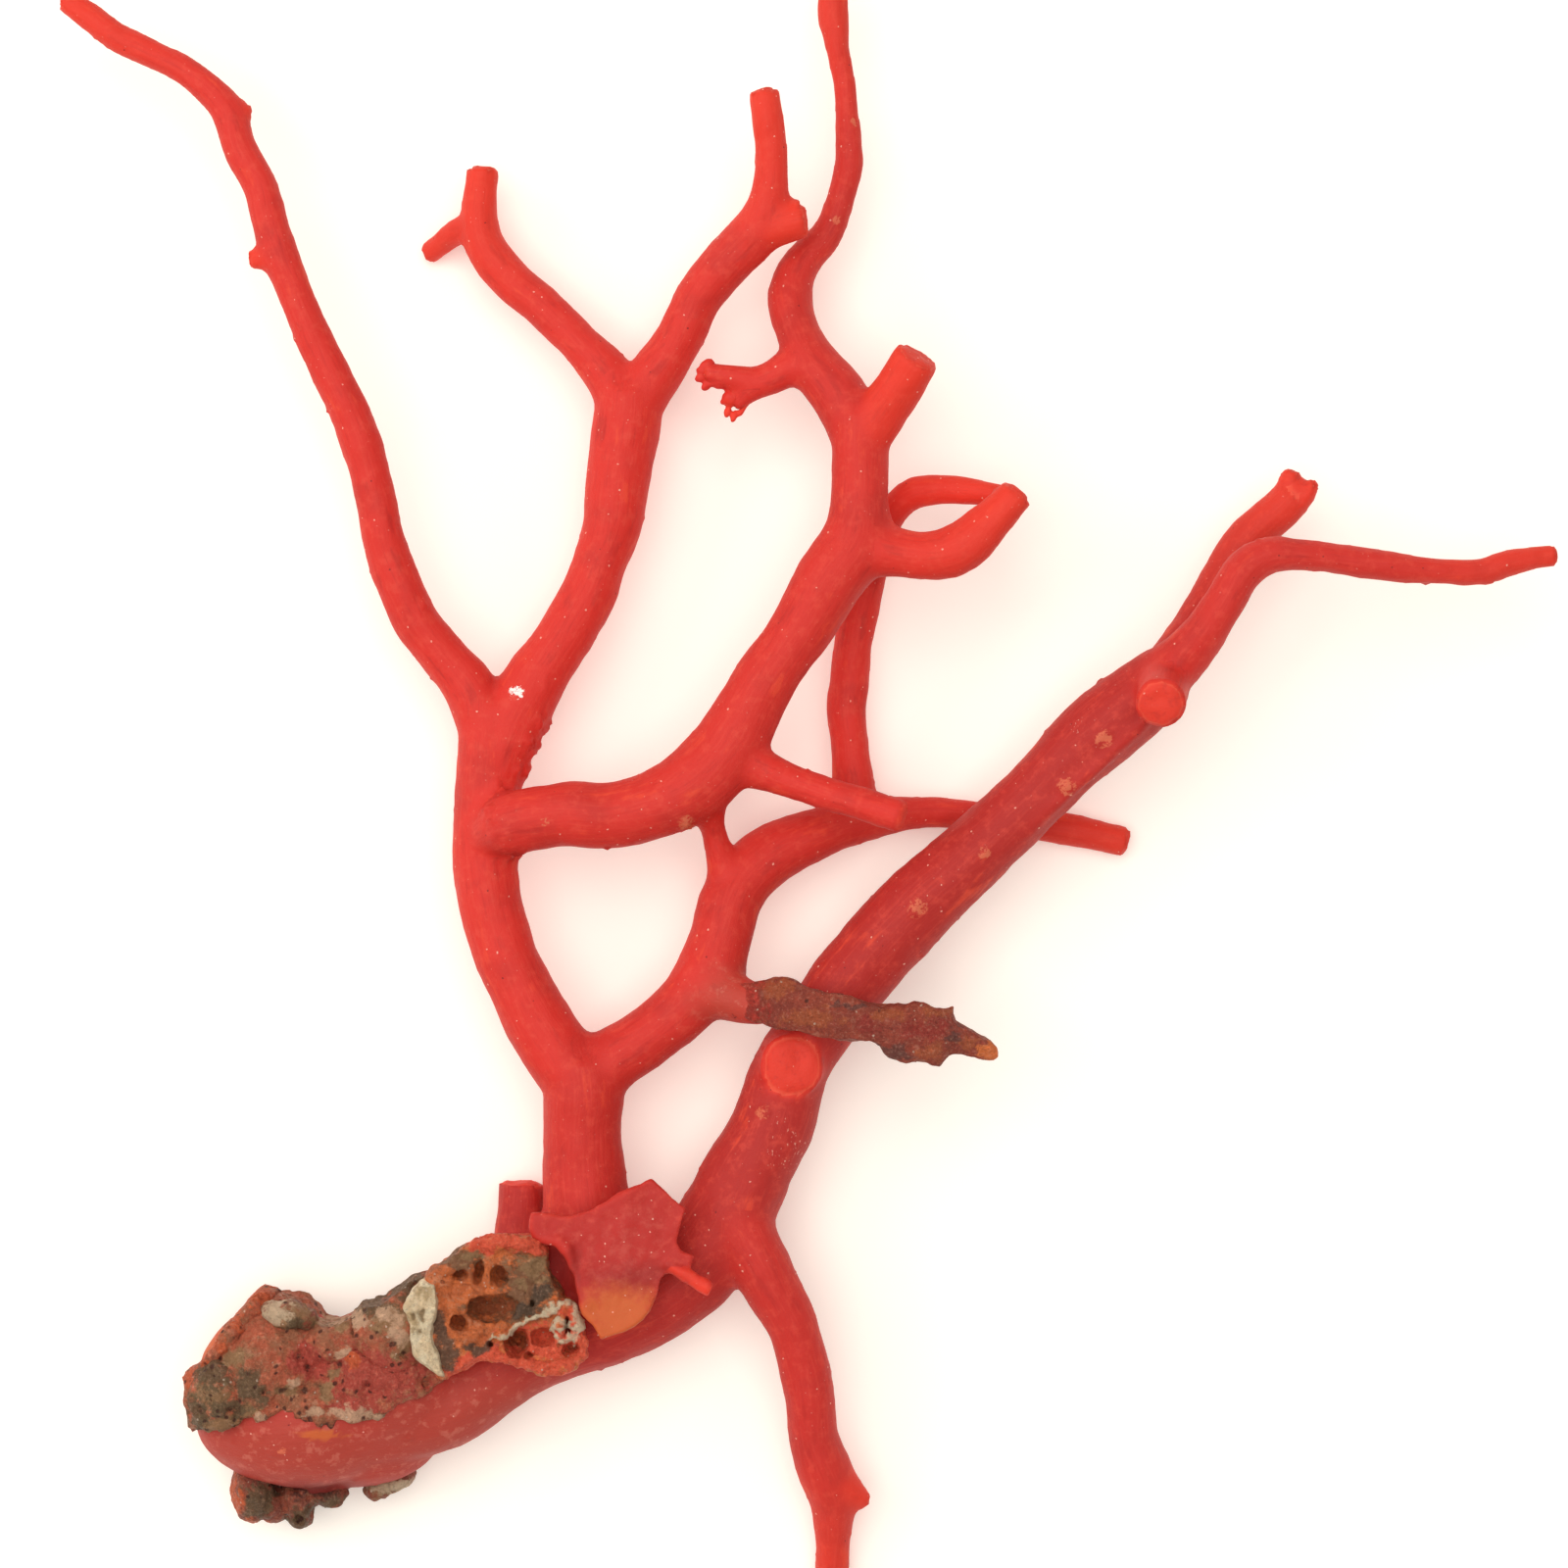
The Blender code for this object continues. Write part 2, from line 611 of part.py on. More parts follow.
def main():
    for obj in list(bpy.data.objects):
        bpy.data.objects.remove(obj)
    parts = collection_named("red_coral_branch")
    cutters = collection_named("cutters")

    shapes = [tube(route) for route in (*BRANCHES.values(), *STUBS.values(), BORED_STUMP, WEB_NECK)]
    shapes += [lump(*row) for row in FOOT_LUMPS]
    shapes.append(broken_web())
    coral = joined("coral", shapes, parts)
    fuse(coral)

    table = as_cutter(joined("table", [table_block(200.0)], cutters))
    bores = [lump(*row, HOLLOW_SUBDIVISIONS) for row in BORED_HOLLOWS]
    hollows = as_cutter(joined("hollows", bores, cutters))
    discs = [saw_disc(route_name) for route_name in SAW_CUTS] + [web_disc()]
    saw = as_cutter(joined("saw", discs, cutters))
    for cutter in (table, hollows, saw):
        cut(coral, cutter)

    loose = split_loose(coral)
    for name in ("foot", "broken_web", *BRANCHES):
        point = name_point(name)
        finish(name, min(loose, key=lambda obj: nearest_distance(obj, point)))


main()
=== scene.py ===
"""A branch of red coral, lying as it was found, on a pale table under soft light."""

import math

import bmesh
import bpy
import numpy as np
from mathutils import Matrix, Vector, noise
from mathutils.kdtree import KDTree


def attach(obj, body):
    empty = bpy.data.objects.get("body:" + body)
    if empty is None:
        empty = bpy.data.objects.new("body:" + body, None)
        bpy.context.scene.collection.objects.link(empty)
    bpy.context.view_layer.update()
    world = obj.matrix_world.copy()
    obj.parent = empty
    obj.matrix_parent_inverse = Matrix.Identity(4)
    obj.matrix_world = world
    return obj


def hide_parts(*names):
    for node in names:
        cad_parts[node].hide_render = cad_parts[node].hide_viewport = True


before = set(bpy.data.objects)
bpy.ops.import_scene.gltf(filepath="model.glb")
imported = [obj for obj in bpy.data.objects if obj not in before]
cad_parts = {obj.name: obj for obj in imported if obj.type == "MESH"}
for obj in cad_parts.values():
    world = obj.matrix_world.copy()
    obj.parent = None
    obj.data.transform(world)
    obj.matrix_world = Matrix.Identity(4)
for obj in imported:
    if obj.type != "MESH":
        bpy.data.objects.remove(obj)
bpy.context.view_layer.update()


# The branches. Red coral is one hard skeleton of calcite, which grew in fine rings, so each branch is
# round, tapers slowly and flows into the next with a soft web at the fork. Most tips are broken off.

MM = 0.001
BOX_MIDDLE = Vector((1.88, -0.43))

BRANCHES = {
    "main_stem": (
        (-36.0, -54.0, 6.3, 5.4), (-29.7, -53.4, 6.0, 4.6), (-25.8, -51.0, 5.6, 4.3),
        (-21.5, -48.5, 5.5, 4.2), (-13.5, -45.4, 5.8, 4.3), (-8.2, -42.0, 6.3, 4.3),
        (-4.8, -37.2, 6.9, 4.1), (-3.0, -33.5, 7.1, 3.8),
    ),
    "left_trunk": (
        (-15.0, -44.0, 6.0, 3.9), (-16.6, -39.5, 6.2, 3.9), (-17.3, -35.0, 6.4, 3.75),
        (-17.5, -30.0, 6.7, 3.55), (-17.3, -26.5, 7.0, 3.6), (-17.6, -23.8, 7.2, 3.3),
    ),
    "left_limb": (
        (-17.6, -26.0, 7.0, 3.2), (-21.9, -19.5, 7.4, 2.95), (-24.6, -13.3, 7.4, 2.8),
        (-25.8, -8.0, 7.2, 2.85), (-25.9, -3.0, 7.0, 2.85), (-25.7, 3.0, 6.9, 2.8), (-25.3, 6.8, 6.9, 2.6),
    ),
    "outer_left_branch": (
        (-25.8, 4.5, 6.9, 2.5), (-27.2, 8.2, 7.1, 2.3), (-29.5, 11.2, 7.4, 2.05), (-31.8, 14.2, 7.9, 2.0),
        (-34.4, 20.3, 8.8, 1.95), (-35.2, 25.0, 9.4, 1.8), (-37.0, 31.0, 10.1, 1.8),
        (-40.0, 37.5, 10.7, 1.7), (-42.2, 42.6, 11.0, 1.6), (-43.8, 47.0, 11.0, 1.65),
        (-44.8, 51.0, 10.9, 1.6), (-46.7, 54.5, 10.7, 1.5), (-47.9, 58.0, 10.5, 1.55),
        (-51.1, 61.1, 10.2, 1.35), (-54.6, 63.0, 9.9, 1.25), (-57.1, 64.1, 9.6, 1.25),
        (-59.6, 65.9, 9.3, 1.2), (-62.2, 67.9, 9.0, 1.2),
    ),
    "inner_left_branch": (
        (-25.5, -2.5, 6.9, 2.3), (-25.0, 1.0, 6.9, 2.6), (-23.2, 6.2, 6.8, 2.9), (-19.1, 12.8, 6.5, 2.55),
        (-17.0, 16.5, 6.3, 2.45), (-16.1, 19.0, 6.2, 2.4), (-14.9, 22.5, 6.2, 2.7), (-14.3, 27.5, 6.3, 2.8),
        (-13.7, 31.0, 6.4, 3.0), (-13.4, 34.2, 6.5, 3.0),
    ),
    "inner_left_twig": (
        (-13.8, 33.0, 6.5, 2.4), (-15.6, 35.9, 6.3, 2.2), (-18.0, 38.5, 5.9, 1.85),
        (-21.0, 41.5, 5.3, 1.85), (-24.2, 44.3, 4.7, 1.85), (-26.1, 47.0, 4.4, 1.8),
        (-26.6, 50.0, 4.6, 1.6), (-26.3, 53.9, 5.2, 1.4),
    ),
    "inner_right_twig": (
        (-13.0, 33.0, 6.5, 2.6), (-10.8, 36.0, 6.7, 2.35), (-9.2, 38.4, 7.0, 2.15), (-7.3, 42.4, 7.7, 2.15),
        (-4.6, 45.4, 8.8, 2.15), (-2.3, 47.7, 9.8, 2.15), (-1.3, 50.5, 10.6, 1.7), (-1.1, 53.4, 11.3, 1.5),
        (-1.3, 56.3, 11.9, 1.4), (-1.8, 59.5, 12.4, 1.2),
    ),
    "middle_limb": (
        (-25.6, -4.4, 8.8, 1.9), (-23.4, -3.4, 10.3, 2.7), (-19.0, -2.6, 11.0, 2.9),
        (-15.0, -2.7, 11.2, 2.9), (-11.0, -1.8, 11.2, 3.05), (-7.5, 0.2, 11.2, 3.3), (-4.6, 3.5, 11.2, 3.2),
        (-1.4, 9.2, 11.4, 2.65), (1.5, 13.5, 11.5, 2.75), (3.9, 17.5, 11.6, 3.0), (6.2, 21.0, 11.5, 3.0),
        (6.5, 25.0, 11.3, 2.5), (6.5, 28.0, 11.2, 2.5), (6.4, 31.5, 11.0, 2.7),
    ),
    "middle_top_twig": (
        (6.2, 30.0, 11.0, 2.4), (4.8, 33.2, 10.4, 2.5), (2.6, 36.0, 9.6, 2.4), (1.2, 39.0, 8.5, 1.95),
        (0.5, 42.5, 7.3, 1.9), (1.6, 45.5, 6.6, 1.7), (3.8, 47.9, 6.4, 1.4), (5.0, 51.0, 6.6, 1.3),
        (5.7, 54.0, 6.9, 1.4), (5.5, 57.5, 7.2, 1.2), (5.2, 61.0, 7.5, 1.15), (4.5, 64.0, 7.8, 1.15),
        (4.25, 67.5, 8.0, 1.4), (4.3, 71.3, 8.3, 1.3),
    ),
    "lower_limb": (
        (-17.0, -25.6, 7.0, 3.2), (-15.0, -24.0, 7.2, 2.9), (-12.0, -22.0, 7.6, 2.65),
        (-9.0, -19.6, 8.1, 2.75), (-6.5, -16.5, 8.2, 3.0), (-5.4, -13.0, 7.8, 2.75),
        (-4.2, -9.3, 7.0, 2.75), (-1.4, -6.4, 6.1, 2.65), (3.0, -4.3, 4.9, 2.35), (7.5, -3.0, 3.7, 2.0),
        (12.0, -2.5, 2.7, 1.55), (15.0, -2.65, 2.2, 1.35), (20.0, -3.3, 1.8, 1.3), (24.5, -3.9, 1.6, 1.4),
        (27.5, -4.5, 1.4, 1.4), (30.4, -5.2, 1.3, 1.4),
    ),
    "upright_twig": (
        (6.5, -3.0, 3.7, 2.1), (6.1, 0.5, 3.8, 1.95), (5.8, 3.5, 4.0, 1.75), (5.5, 6.5, 4.1, 1.75),
        (5.8, 10.0, 4.3, 1.7), (6.4, 14.0, 4.6, 1.75), (7.3, 18.0, 5.0, 1.6), (8.2, 21.5, 5.6, 1.45),
        (9.6, 24.0, 6.2, 1.4), (11.5, 25.3, 6.9, 1.3), (14.5, 25.5, 7.7, 1.25), (17.5, 25.1, 8.4, 1.2),
        (19.8, 24.5, 8.9, 1.1),
    ),
    "low_branch": (
        (-4.2, -38.0, 7.8, 3.4), (-2.4, -41.0, 8.6, 2.8), (-0.9, -43.8, 8.4, 2.45), (0.8, -47.2, 7.8, 2.25),
        (2.0, -52.0, 6.8, 2.25), (2.6, -57.0, 5.6, 2.2), (3.7, -60.2, 4.7, 2.4), (4.4, -62.5, 3.9, 2.1),
        (4.3, -65.4, 3.0, 1.65), (4.2, -68.8, 1.9, 1.55), (4.1, -72.0, 0.95, 1.45),
    ),
    "right_trunk": (
        (-4.9, -37.4, 6.9, 4.0), (-3.4, -34.0, 7.1, 3.8), (-1.2, -30.0, 7.2, 3.6), (0.4, -25.0, 7.2, 3.4),
        (2.2, -22.0, 7.2, 3.25), (5.6, -17.2, 7.4, 3.4), (9.9, -12.2, 7.7, 3.45), (14.7, -7.5, 8.0, 3.25),
        (18.6, -3.8, 8.3, 3.05), (22.2, -0.4, 8.7, 3.0), (24.6, 2.2, 9.2, 3.05), (27.8, 5.2, 9.7, 3.4),
        (31.2, 7.9, 10.2, 3.1), (33.2, 9.6, 10.6, 2.8),
    ),
    "right_front_twig": (
        (32.0, 8.8, 10.6, 2.5), (34.1, 10.7, 12.1, 2.35), (35.8, 12.8, 13.3, 1.95),
        (37.8, 16.1, 14.2, 1.75), (39.2, 18.3, 14.4, 1.75), (41.2, 19.5, 14.4, 1.65),
        (44.2, 19.5, 14.2, 1.5), (49.1, 18.9, 13.4, 1.35), (54.1, 18.3, 12.8, 1.25),
        (59.1, 18.1, 12.0, 1.25), (61.8, 18.8, 11.7, 1.15), (64.2, 19.4, 11.4, 1.05),
        (66.4, 19.6, 11.2, 1.05),
    ),
    "right_back_twig": (
        (32.1, 8.3, 9.4, 2.5), (35.2, 13.0, 7.6, 2.1), (38.1, 17.9, 6.7, 1.85), (40.4, 21.5, 6.6, 1.8),
        (43.1, 23.9, 7.0, 1.8), (44.4, 25.3, 7.5, 1.65),
    ),
}

STUBS = {
    "outer_left_nub": ((-43.5, 45.4, 11.0, 1.0), (-46.1, 44.8, 11.0, 0.85)),
    "outer_left_spur": ((-47.2, 57.6, 10.5, 0.9), (-45.6, 58.1, 10.5, 0.6)),
    "prop": ((-26.4, 49.0, 4.4, 1.3), (-28.6, 48.4, 3.2, 1.2), (-31.5, 46.7, 0.5, 1.05)),
    "inner_right_stub": ((-2.6, 47.6, 9.8, 2.0), (0.0, 48.2, 10.1, 1.9), (2.1, 48.7, 10.3, 1.75)),
    "frayed_sprig": (
        (0.9, 36.0, 9.6, 1.8), (-2.0, 34.7, 9.5, 1.5), (-4.5, 35.0, 9.8, 1.25), (-7.2, 35.5, 10.1, 1.0),
    ),
    "frayed_fork": ((-2.2, 34.6, 9.5, 1.4), (-3.6, 33.5, 9.4, 1.1), (-4.6, 32.3, 9.3, 0.7)),
    "middle_upper_stub": ((6.6, 29.6, 11.1, 2.4), (8.9, 32.6, 12.4, 2.15), (11.5, 36.5, 14.6, 2.0)),
    "middle_right_stub": (
        (6.2, 20.7, 11.5, 2.7), (10.5, 19.7, 12.0, 2.1), (13.3, 19.5, 12.4, 2.25), (15.4, 20.3, 12.8, 2.25),
        (17.8, 22.6, 13.2, 1.75), (20.1, 25.1, 13.6, 1.5),
    ),
    "middle_lower_stub": (
        (-4.4, 2.2, 11.2, 2.4), (-0.2, 0.6, 12.0, 1.6), (4.0, -0.9, 13.0, 1.5), (7.5, -2.0, 14.0, 1.55),
        (10.4, -2.9, 15.0, 1.5),
    ),
    "bridge": ((-6.6, -2.0, 10.0, 1.7), (-6.0, -4.4, 8.9, 1.15), (-5.0, -7.6, 7.6, 1.8)),
    "trunk_lower_stub": ((0.7, -24.1, 7.5, 2.9), (0.7, -24.2, 11.0, 2.75)),
    "trunk_upper_stub": ((32.6, 9.0, 11.0, 2.4), (32.3, 7.9, 14.0, 2.2), (31.8, 6.7, 17.5, 2.15)),
    "trunk_crest": (
        (20.6, -4.4, 10.6, 0.40), (23.4, -1.6, 11.2, 0.50), (26.3, 1.1, 12.0, 0.55),
        (29.0, 3.7, 12.4, 0.55), (31.0, 5.4, 12.8, 0.45),
    ),
    "back_twig_left_knob": ((44.0, 25.2, 7.6, 1.25), (43.6, 27.3, 7.8, 0.85)),
    "back_twig_right_knob": ((44.8, 25.0, 7.9, 1.2), (46.2, 26.1, 8.3, 0.55)),
    "front_twig_nub": ((59.8, 18.1, 11.9, 0.9), (60.8, 17.0, 11.9, 0.5)),
    "low_branch_spur": ((4.6, -61.0, 4.6, 2.0), (7.5, -63.0, 4.2, 0.6)),
    "crusted_twig_base": (
        (-7.6, -16.2, 7.8, 3.1), (-6.0, -17.6, 8.8, 2.7), (-4.0, -18.5, 9.9, 2.1), (-1.5, -19.0, 11.3, 1.7),
    ),
    "web_root": ((-20.4, -46.0, 5.4, 3.2), (-19.8, -41.0, 6.6, 2.8), (-19.8, -37.4, 6.2, 1.7)),
    "rear_stump": ((-23.6, -44.0, 4.2, 2.3), (-23.1, -39.0, 2.9, 2.15), (-22.9, -34.8, 2.6, 2.1)),
}

FOOT_LUMPS = (
    ((-41.5, -54.5, 6.0), (9.8, 6.6, 6.6), 4.0), ((-44.5, -51.0, 6.6), (6.6, 5.8, 6.0), 40.0),
    ((-35.5, -52.0, 6.6), (8.6, 6.4, 6.2), 20.0), ((-36.0, -57.0, 4.6), (6.5, 4.2, 4.6), 12.0),
    ((-40.8, -60.5, 3.4), (3.2, 2.2, 2.8), 0.0), ((-25.6, -45.9, 5.4), (5.2, 4.8, 3.8), 30.0),
)

ROUTE_STEP = 1.0
RING_SIDES = 20
SKIN_VOXEL = 0.40
FORK_SMOOTHING_STEPS = 8
SWELLING = ((6.5, 0.20), (2.6, 0.11), (1.2, 0.05))
GRAIN_SIZE = 0.9
GRAIN_HEIGHT = 0.8
LEAST_GRAIN = 0.60


def placed(x, y, height=0.0):
    """A place over the table, in millimetres as the routes have it, as a point in the part's frame."""
    return Vector((x - BOX_MIDDLE.x, y - BOX_MIDDLE.y, height)) * MM


def smooth_route(points, step=ROUTE_STEP):
    """Points on a smooth curve through a route's own points, with the radius as a fourth number."""
    rows = [Vector(point) for point in points]
    rows = [2 * rows[0] - rows[1], *rows, 2 * rows[-1] - rows[-2]]
    made = []
    for before, start, end, after in zip(rows, rows[1:], rows[2:], rows[3:]):
        pieces = max(1, round((end.xyz - start.xyz).length / step))
        for piece in range(pieces):
            t = piece / pieces
            made.append(0.5 * (
                2 * start
                + (end - before) * t
                + (2 * before - 5 * start + 4 * end - after) * t ** 2
                + (3 * start - before - 3 * end + after) * t ** 3
            ))
    made.append(rows[-2])
    return made


def along(rows):
    """Each point of a route with its place, radius, turn and length so far; the turns don't twist."""
    turn = (rows[1].xyz - rows[0].xyz).to_track_quat("Z", "Y")
    run = 0.0
    for index, row in enumerate(rows):
        ahead = rows[min(index + 1, len(rows) - 1)].xyz - rows[max(index - 1, 0)].xyz
        turn = (turn @ Vector((0, 0, 1))).rotation_difference(ahead) @ turn
        if index:
            run += (row.xyz - rows[index - 1].xyz).length
        yield placed(*row.xyz), row.w * MM, turn, run


def grow(shape, route):
    """Draws a ring along a route, which leaves a closed round branch in the bmesh."""
    before = None
    for point, radius, turn, _ in along(smooth_route(route)):
        wide = Matrix.Diagonal((radius, radius, radius, 1.0))
        now = Matrix.Translation(point) @ turn.to_matrix().to_4x4() @ wide
        if before is None:
            ring = bmesh.ops.create_circle(shape, cap_ends=True, segments=RING_SIDES, radius=1.0, matrix=now)
            cap = ring["verts"][0].link_faces[0]
        else:
            drawn = bmesh.ops.extrude_face_region(shape, geom=[cap])["geom"]
            cap = next(piece for piece in drawn if isinstance(piece, bmesh.types.BMFace))
            ring = [piece for piece in drawn if isinstance(piece, bmesh.types.BMVert)]
            bmesh.ops.transform(shape, matrix=now @ before.inverted(), verts=ring)
        before = now


def swell(shape, middle, half_lengths, turn_deg=0.0):
    """Adds a rounded lump to the bmesh."""
    size = Matrix.Diagonal((*half_lengths, 1.0))
    turn = Matrix.Rotation(math.radians(turn_deg), 4, "Z")
    matrix = Matrix.Translation(placed(*middle)) @ turn @ size
    bmesh.ops.create_icosphere(shape, subdivisions=4, radius=MM, matrix=matrix)


def as_piece(name, shape):
    """A bmesh as a new object that rides on the coral's one body."""
    bmesh.ops.recalc_face_normals(shape, faces=shape.faces)
    mesh = bpy.data.meshes.new(name)
    shape.to_mesh(mesh)
    shape.free()
    piece = bpy.data.objects.new(name, mesh)
    bpy.context.scene.collection.objects.link(piece)
    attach(piece, "root")
    return piece


def fuse(piece, voxel, smoothing_steps):
    """Makes one even skin of a piece's crossing shapes, and rounds the creases between them."""
    remesh = piece.modifiers.new("one skin", "REMESH")
    remesh.mode = "VOXEL"
    remesh.voxel_size = voxel * MM
    smooth = piece.modifiers.new("round the creases", "SMOOTH")
    smooth.factor = 0.5
    smooth.iterations = smoothing_steps
    graph = bpy.context.evaluated_depsgraph_get()
    mesh = bpy.data.meshes.new_from_object(piece.evaluated_get(graph))
    piece.modifiers.clear()
    piece.data = mesh
    mesh.shade_smooth()


def read(mesh):
    """A mesh's corners and their normals as two arrays."""
    corners = np.empty(3 * len(mesh.vertices), dtype=np.float32)
    normals = np.empty_like(corners)
    mesh.vertices.foreach_get("co", corners)
    mesh.vertices.foreach_get("normal", normals)
    return corners.reshape(-1, 3), normals.reshape(-1, 3)


def raise_by(mesh, heights):
    """Moves each corner of a mesh out along its normal, by heights in millimetres."""
    corners, normals = read(mesh)
    moved = corners + normals * np.asarray(heights, dtype=np.float32)[:, None] * MM
    mesh.vertices.foreach_set("co", moved.ravel())
    mesh.update()


def lay_on_table(mesh):
    """Keeps every corner of a mesh at or over the table."""
    corners, _ = read(mesh)
    corners[:, 2] = np.maximum(corners[:, 2], 0.0)
    mesh.vertices.foreach_set("co", corners.ravel())
    mesh.update()


def lumpiness(corners, layers, shift=0.0):
    """Smooth uneven heights at each corner, in millimetres, from layers of (size of a lump, height)."""
    heights = []
    for corner in corners:
        place = Vector(corner) / MM + Vector((shift, 0, 0))
        heights.append(sum(high * noise.noise(place / size) for size, high in layers))
    return np.array(heights)


ROUTES = {**BRANCHES, **STUBS}
# Painted shade: how far each branch's red is darkened to the shaded copy of the coral red, for the shade on
# the right trunk, the stem, the foot and their neighbours.
SHADED_BRANCHES = {
    "right_trunk": 1.0,
    "right_back_twig": 0.8,
    "main_stem": 0.9,
    "rear_stump": 1.0,
    "web_root": 1.0,
    "trunk_crest": 0.75,
    "low_branch": 0.45,
    "right_front_twig": 0.3,
    "lower_limb": 0.25,
    "middle_top_twig": 0.3,
    "left_trunk": 0.4,
    "middle_limb": 0.15,
}
UNBROKEN_ENDS = {
    "main_stem", "left_trunk", "left_limb", "inner_left_branch", "middle_limb", "right_trunk", "bridge",
    "web_root", "crusted_twig_base", "trunk_crest",
}
SHORT_TWIGS = {
    "trunk_lower_stub", "trunk_upper_stub", "rear_stump", "middle_lower_stub", "frayed_sprig",
    "frayed_fork",
}
YOUNG_LENGTH = 16.0
CUT_DEPTH = 0.35
STAINS = (
    (11.5, -10.7, 1.3), (24.2, -0.2, 1.2), (27.3, 3.9, 1.2), (-1.8, -28.2, 0.9), (17.2, -5.9, 0.8),
    (-43.0, -57.0, 0.6), (-8.3, -3.4, 1.1), (-8.9, 12.0, 0.6), (-20.4, -3.2, 0.6), (6.2, 57.3, 0.6),
    (4.6, 48.9, 0.6),
)
CHALKS = ((-23.1, 7.9, 1.1),)
WORN = (
    (-4.4, -18.6, 2.6, 2.2), (-41.0, -57.5, 11.0, 4.0), (-31.0, -55.5, 6.0, 4.0), (-26.0, -53.5, 6.0, 3.0),
)
SCARS = (
    (-21.0, 5.2, 1.3), (-21.9, 3.2, 1.4), (-22.9, 1.3, 1.4), (-24.4, -0.6, 1.3), (-25.2, -2.6, 1.1),
    (-24.4, -4.6, 1.2), (-23.0, -6.2, 1.3), (-8.6, -3.4, 1.0), (17.2, -5.9, 0.8), (24.2, -0.2, 0.9),
    (27.3, 3.9, 0.9), (11.5, -10.7, 1.0), (-1.8, -28.2, 0.7),
)
SCAR_HEIGHT = 1.1
SCAR_LUMPS = ((1.1, 1.0), (0.6, 0.5))
# Painted shade: the recess under the foot's red lip, darkened to a deep red.
SHADED_HOLLOW_PLACE = ((-40.8, -61.8, 3.6, 1.2),)
ORANGE_EDGE = (
    (-39.6, -55.7, 2.0, 0.32), (-46.6, -45.4, 1.1, 1.1), (-48.0, -46.9, 1.1, 1.1), (-49.4, -48.6, 1.1, 1.1),
    (-50.6, -50.2, 1.1, 1.3),
)
SCRATCHES = ((0.3, -31.6, 2.6), (-0.6, -28.6, 1.2), (2.4, -42.6, 1.2), (25.2, 5.0, 1.0))
TORN_EDGES = ((1.3, 0.55), (0.5, 0.35))
MASK_SMOOTHING_STEPS = 5
SHADE_SMOOTHING_STEPS = 12
MARKING_STEP = 0.5
NEAR_STEPS = 14
RIM_WEAR = 0.16
END_WEAR = 0.4


def edge_ends(mesh):
    """The two corners of each edge of a mesh, as two arrays of their numbers."""
    ends = np.empty(2 * len(mesh.edges), dtype=np.int32)
    mesh.edges.foreach_get("vertices", ends)
    return ends.reshape(-1, 2).T


def spread(mesh, values, steps):
    """Values at a mesh's corners, evened out between neighbours."""
    first, second = edge_ends(mesh)
    count = np.bincount(np.concatenate((first, second)), minlength=len(mesh.vertices))
    for _ in range(steps):
        total = np.bincount(first, weights=values[second], minlength=len(values))
        total += np.bincount(second, weights=values[first], minlength=len(values))
        values = 0.5 * values + 0.5 * total / count
    return values


def mark(mesh, name, values):
    """Stores a number, or three, at each corner of a mesh for its material to read."""
    values = np.asarray(values, dtype=np.float32)
    kind, field = ("FLOAT", "value") if values.ndim == 1 else ("FLOAT_VECTOR", "vector")
    mesh.attributes.new(name, kind, "POINT").data.foreach_set(field, values.ravel())


def spots(corners, places):
    """How deep each corner lies in the nearest of some round places seen from above, from 0 to 1."""
    depth = np.zeros(len(corners))
    for x, y, radius in places:
        middle = np.array(placed(x, y).xy)
        away = np.linalg.norm(corners[:, :2] - middle, axis=1) / (radius * MM)
        depth = np.maximum(depth, 1.0 - away)
    return depth


def wandering(corners):
    """Each corner's place seen from above, in mm, shifted a little this way and that, so edges are torn."""
    sideways = lumpiness(corners, TORN_EDGES, 57.0)
    up_and_down = lumpiness(corners, TORN_EDGES, 93.0)
    return corners[:, :2] / MM + np.array(BOX_MIDDLE) + np.stack((sideways, up_and_down), axis=1)


def patches(places, rows):
    """How deep each place lies in the nearest of some oval patches seen from above, from 0 to 1."""
    depth = np.zeros(len(places))
    for x, y, half_x, half_y in rows:
        away = np.linalg.norm((places - (x, y)) / (half_x, half_y), axis=1)
        depth = np.maximum(depth, np.clip(1.4 - 0.8 * away, 0, 1))
    return depth


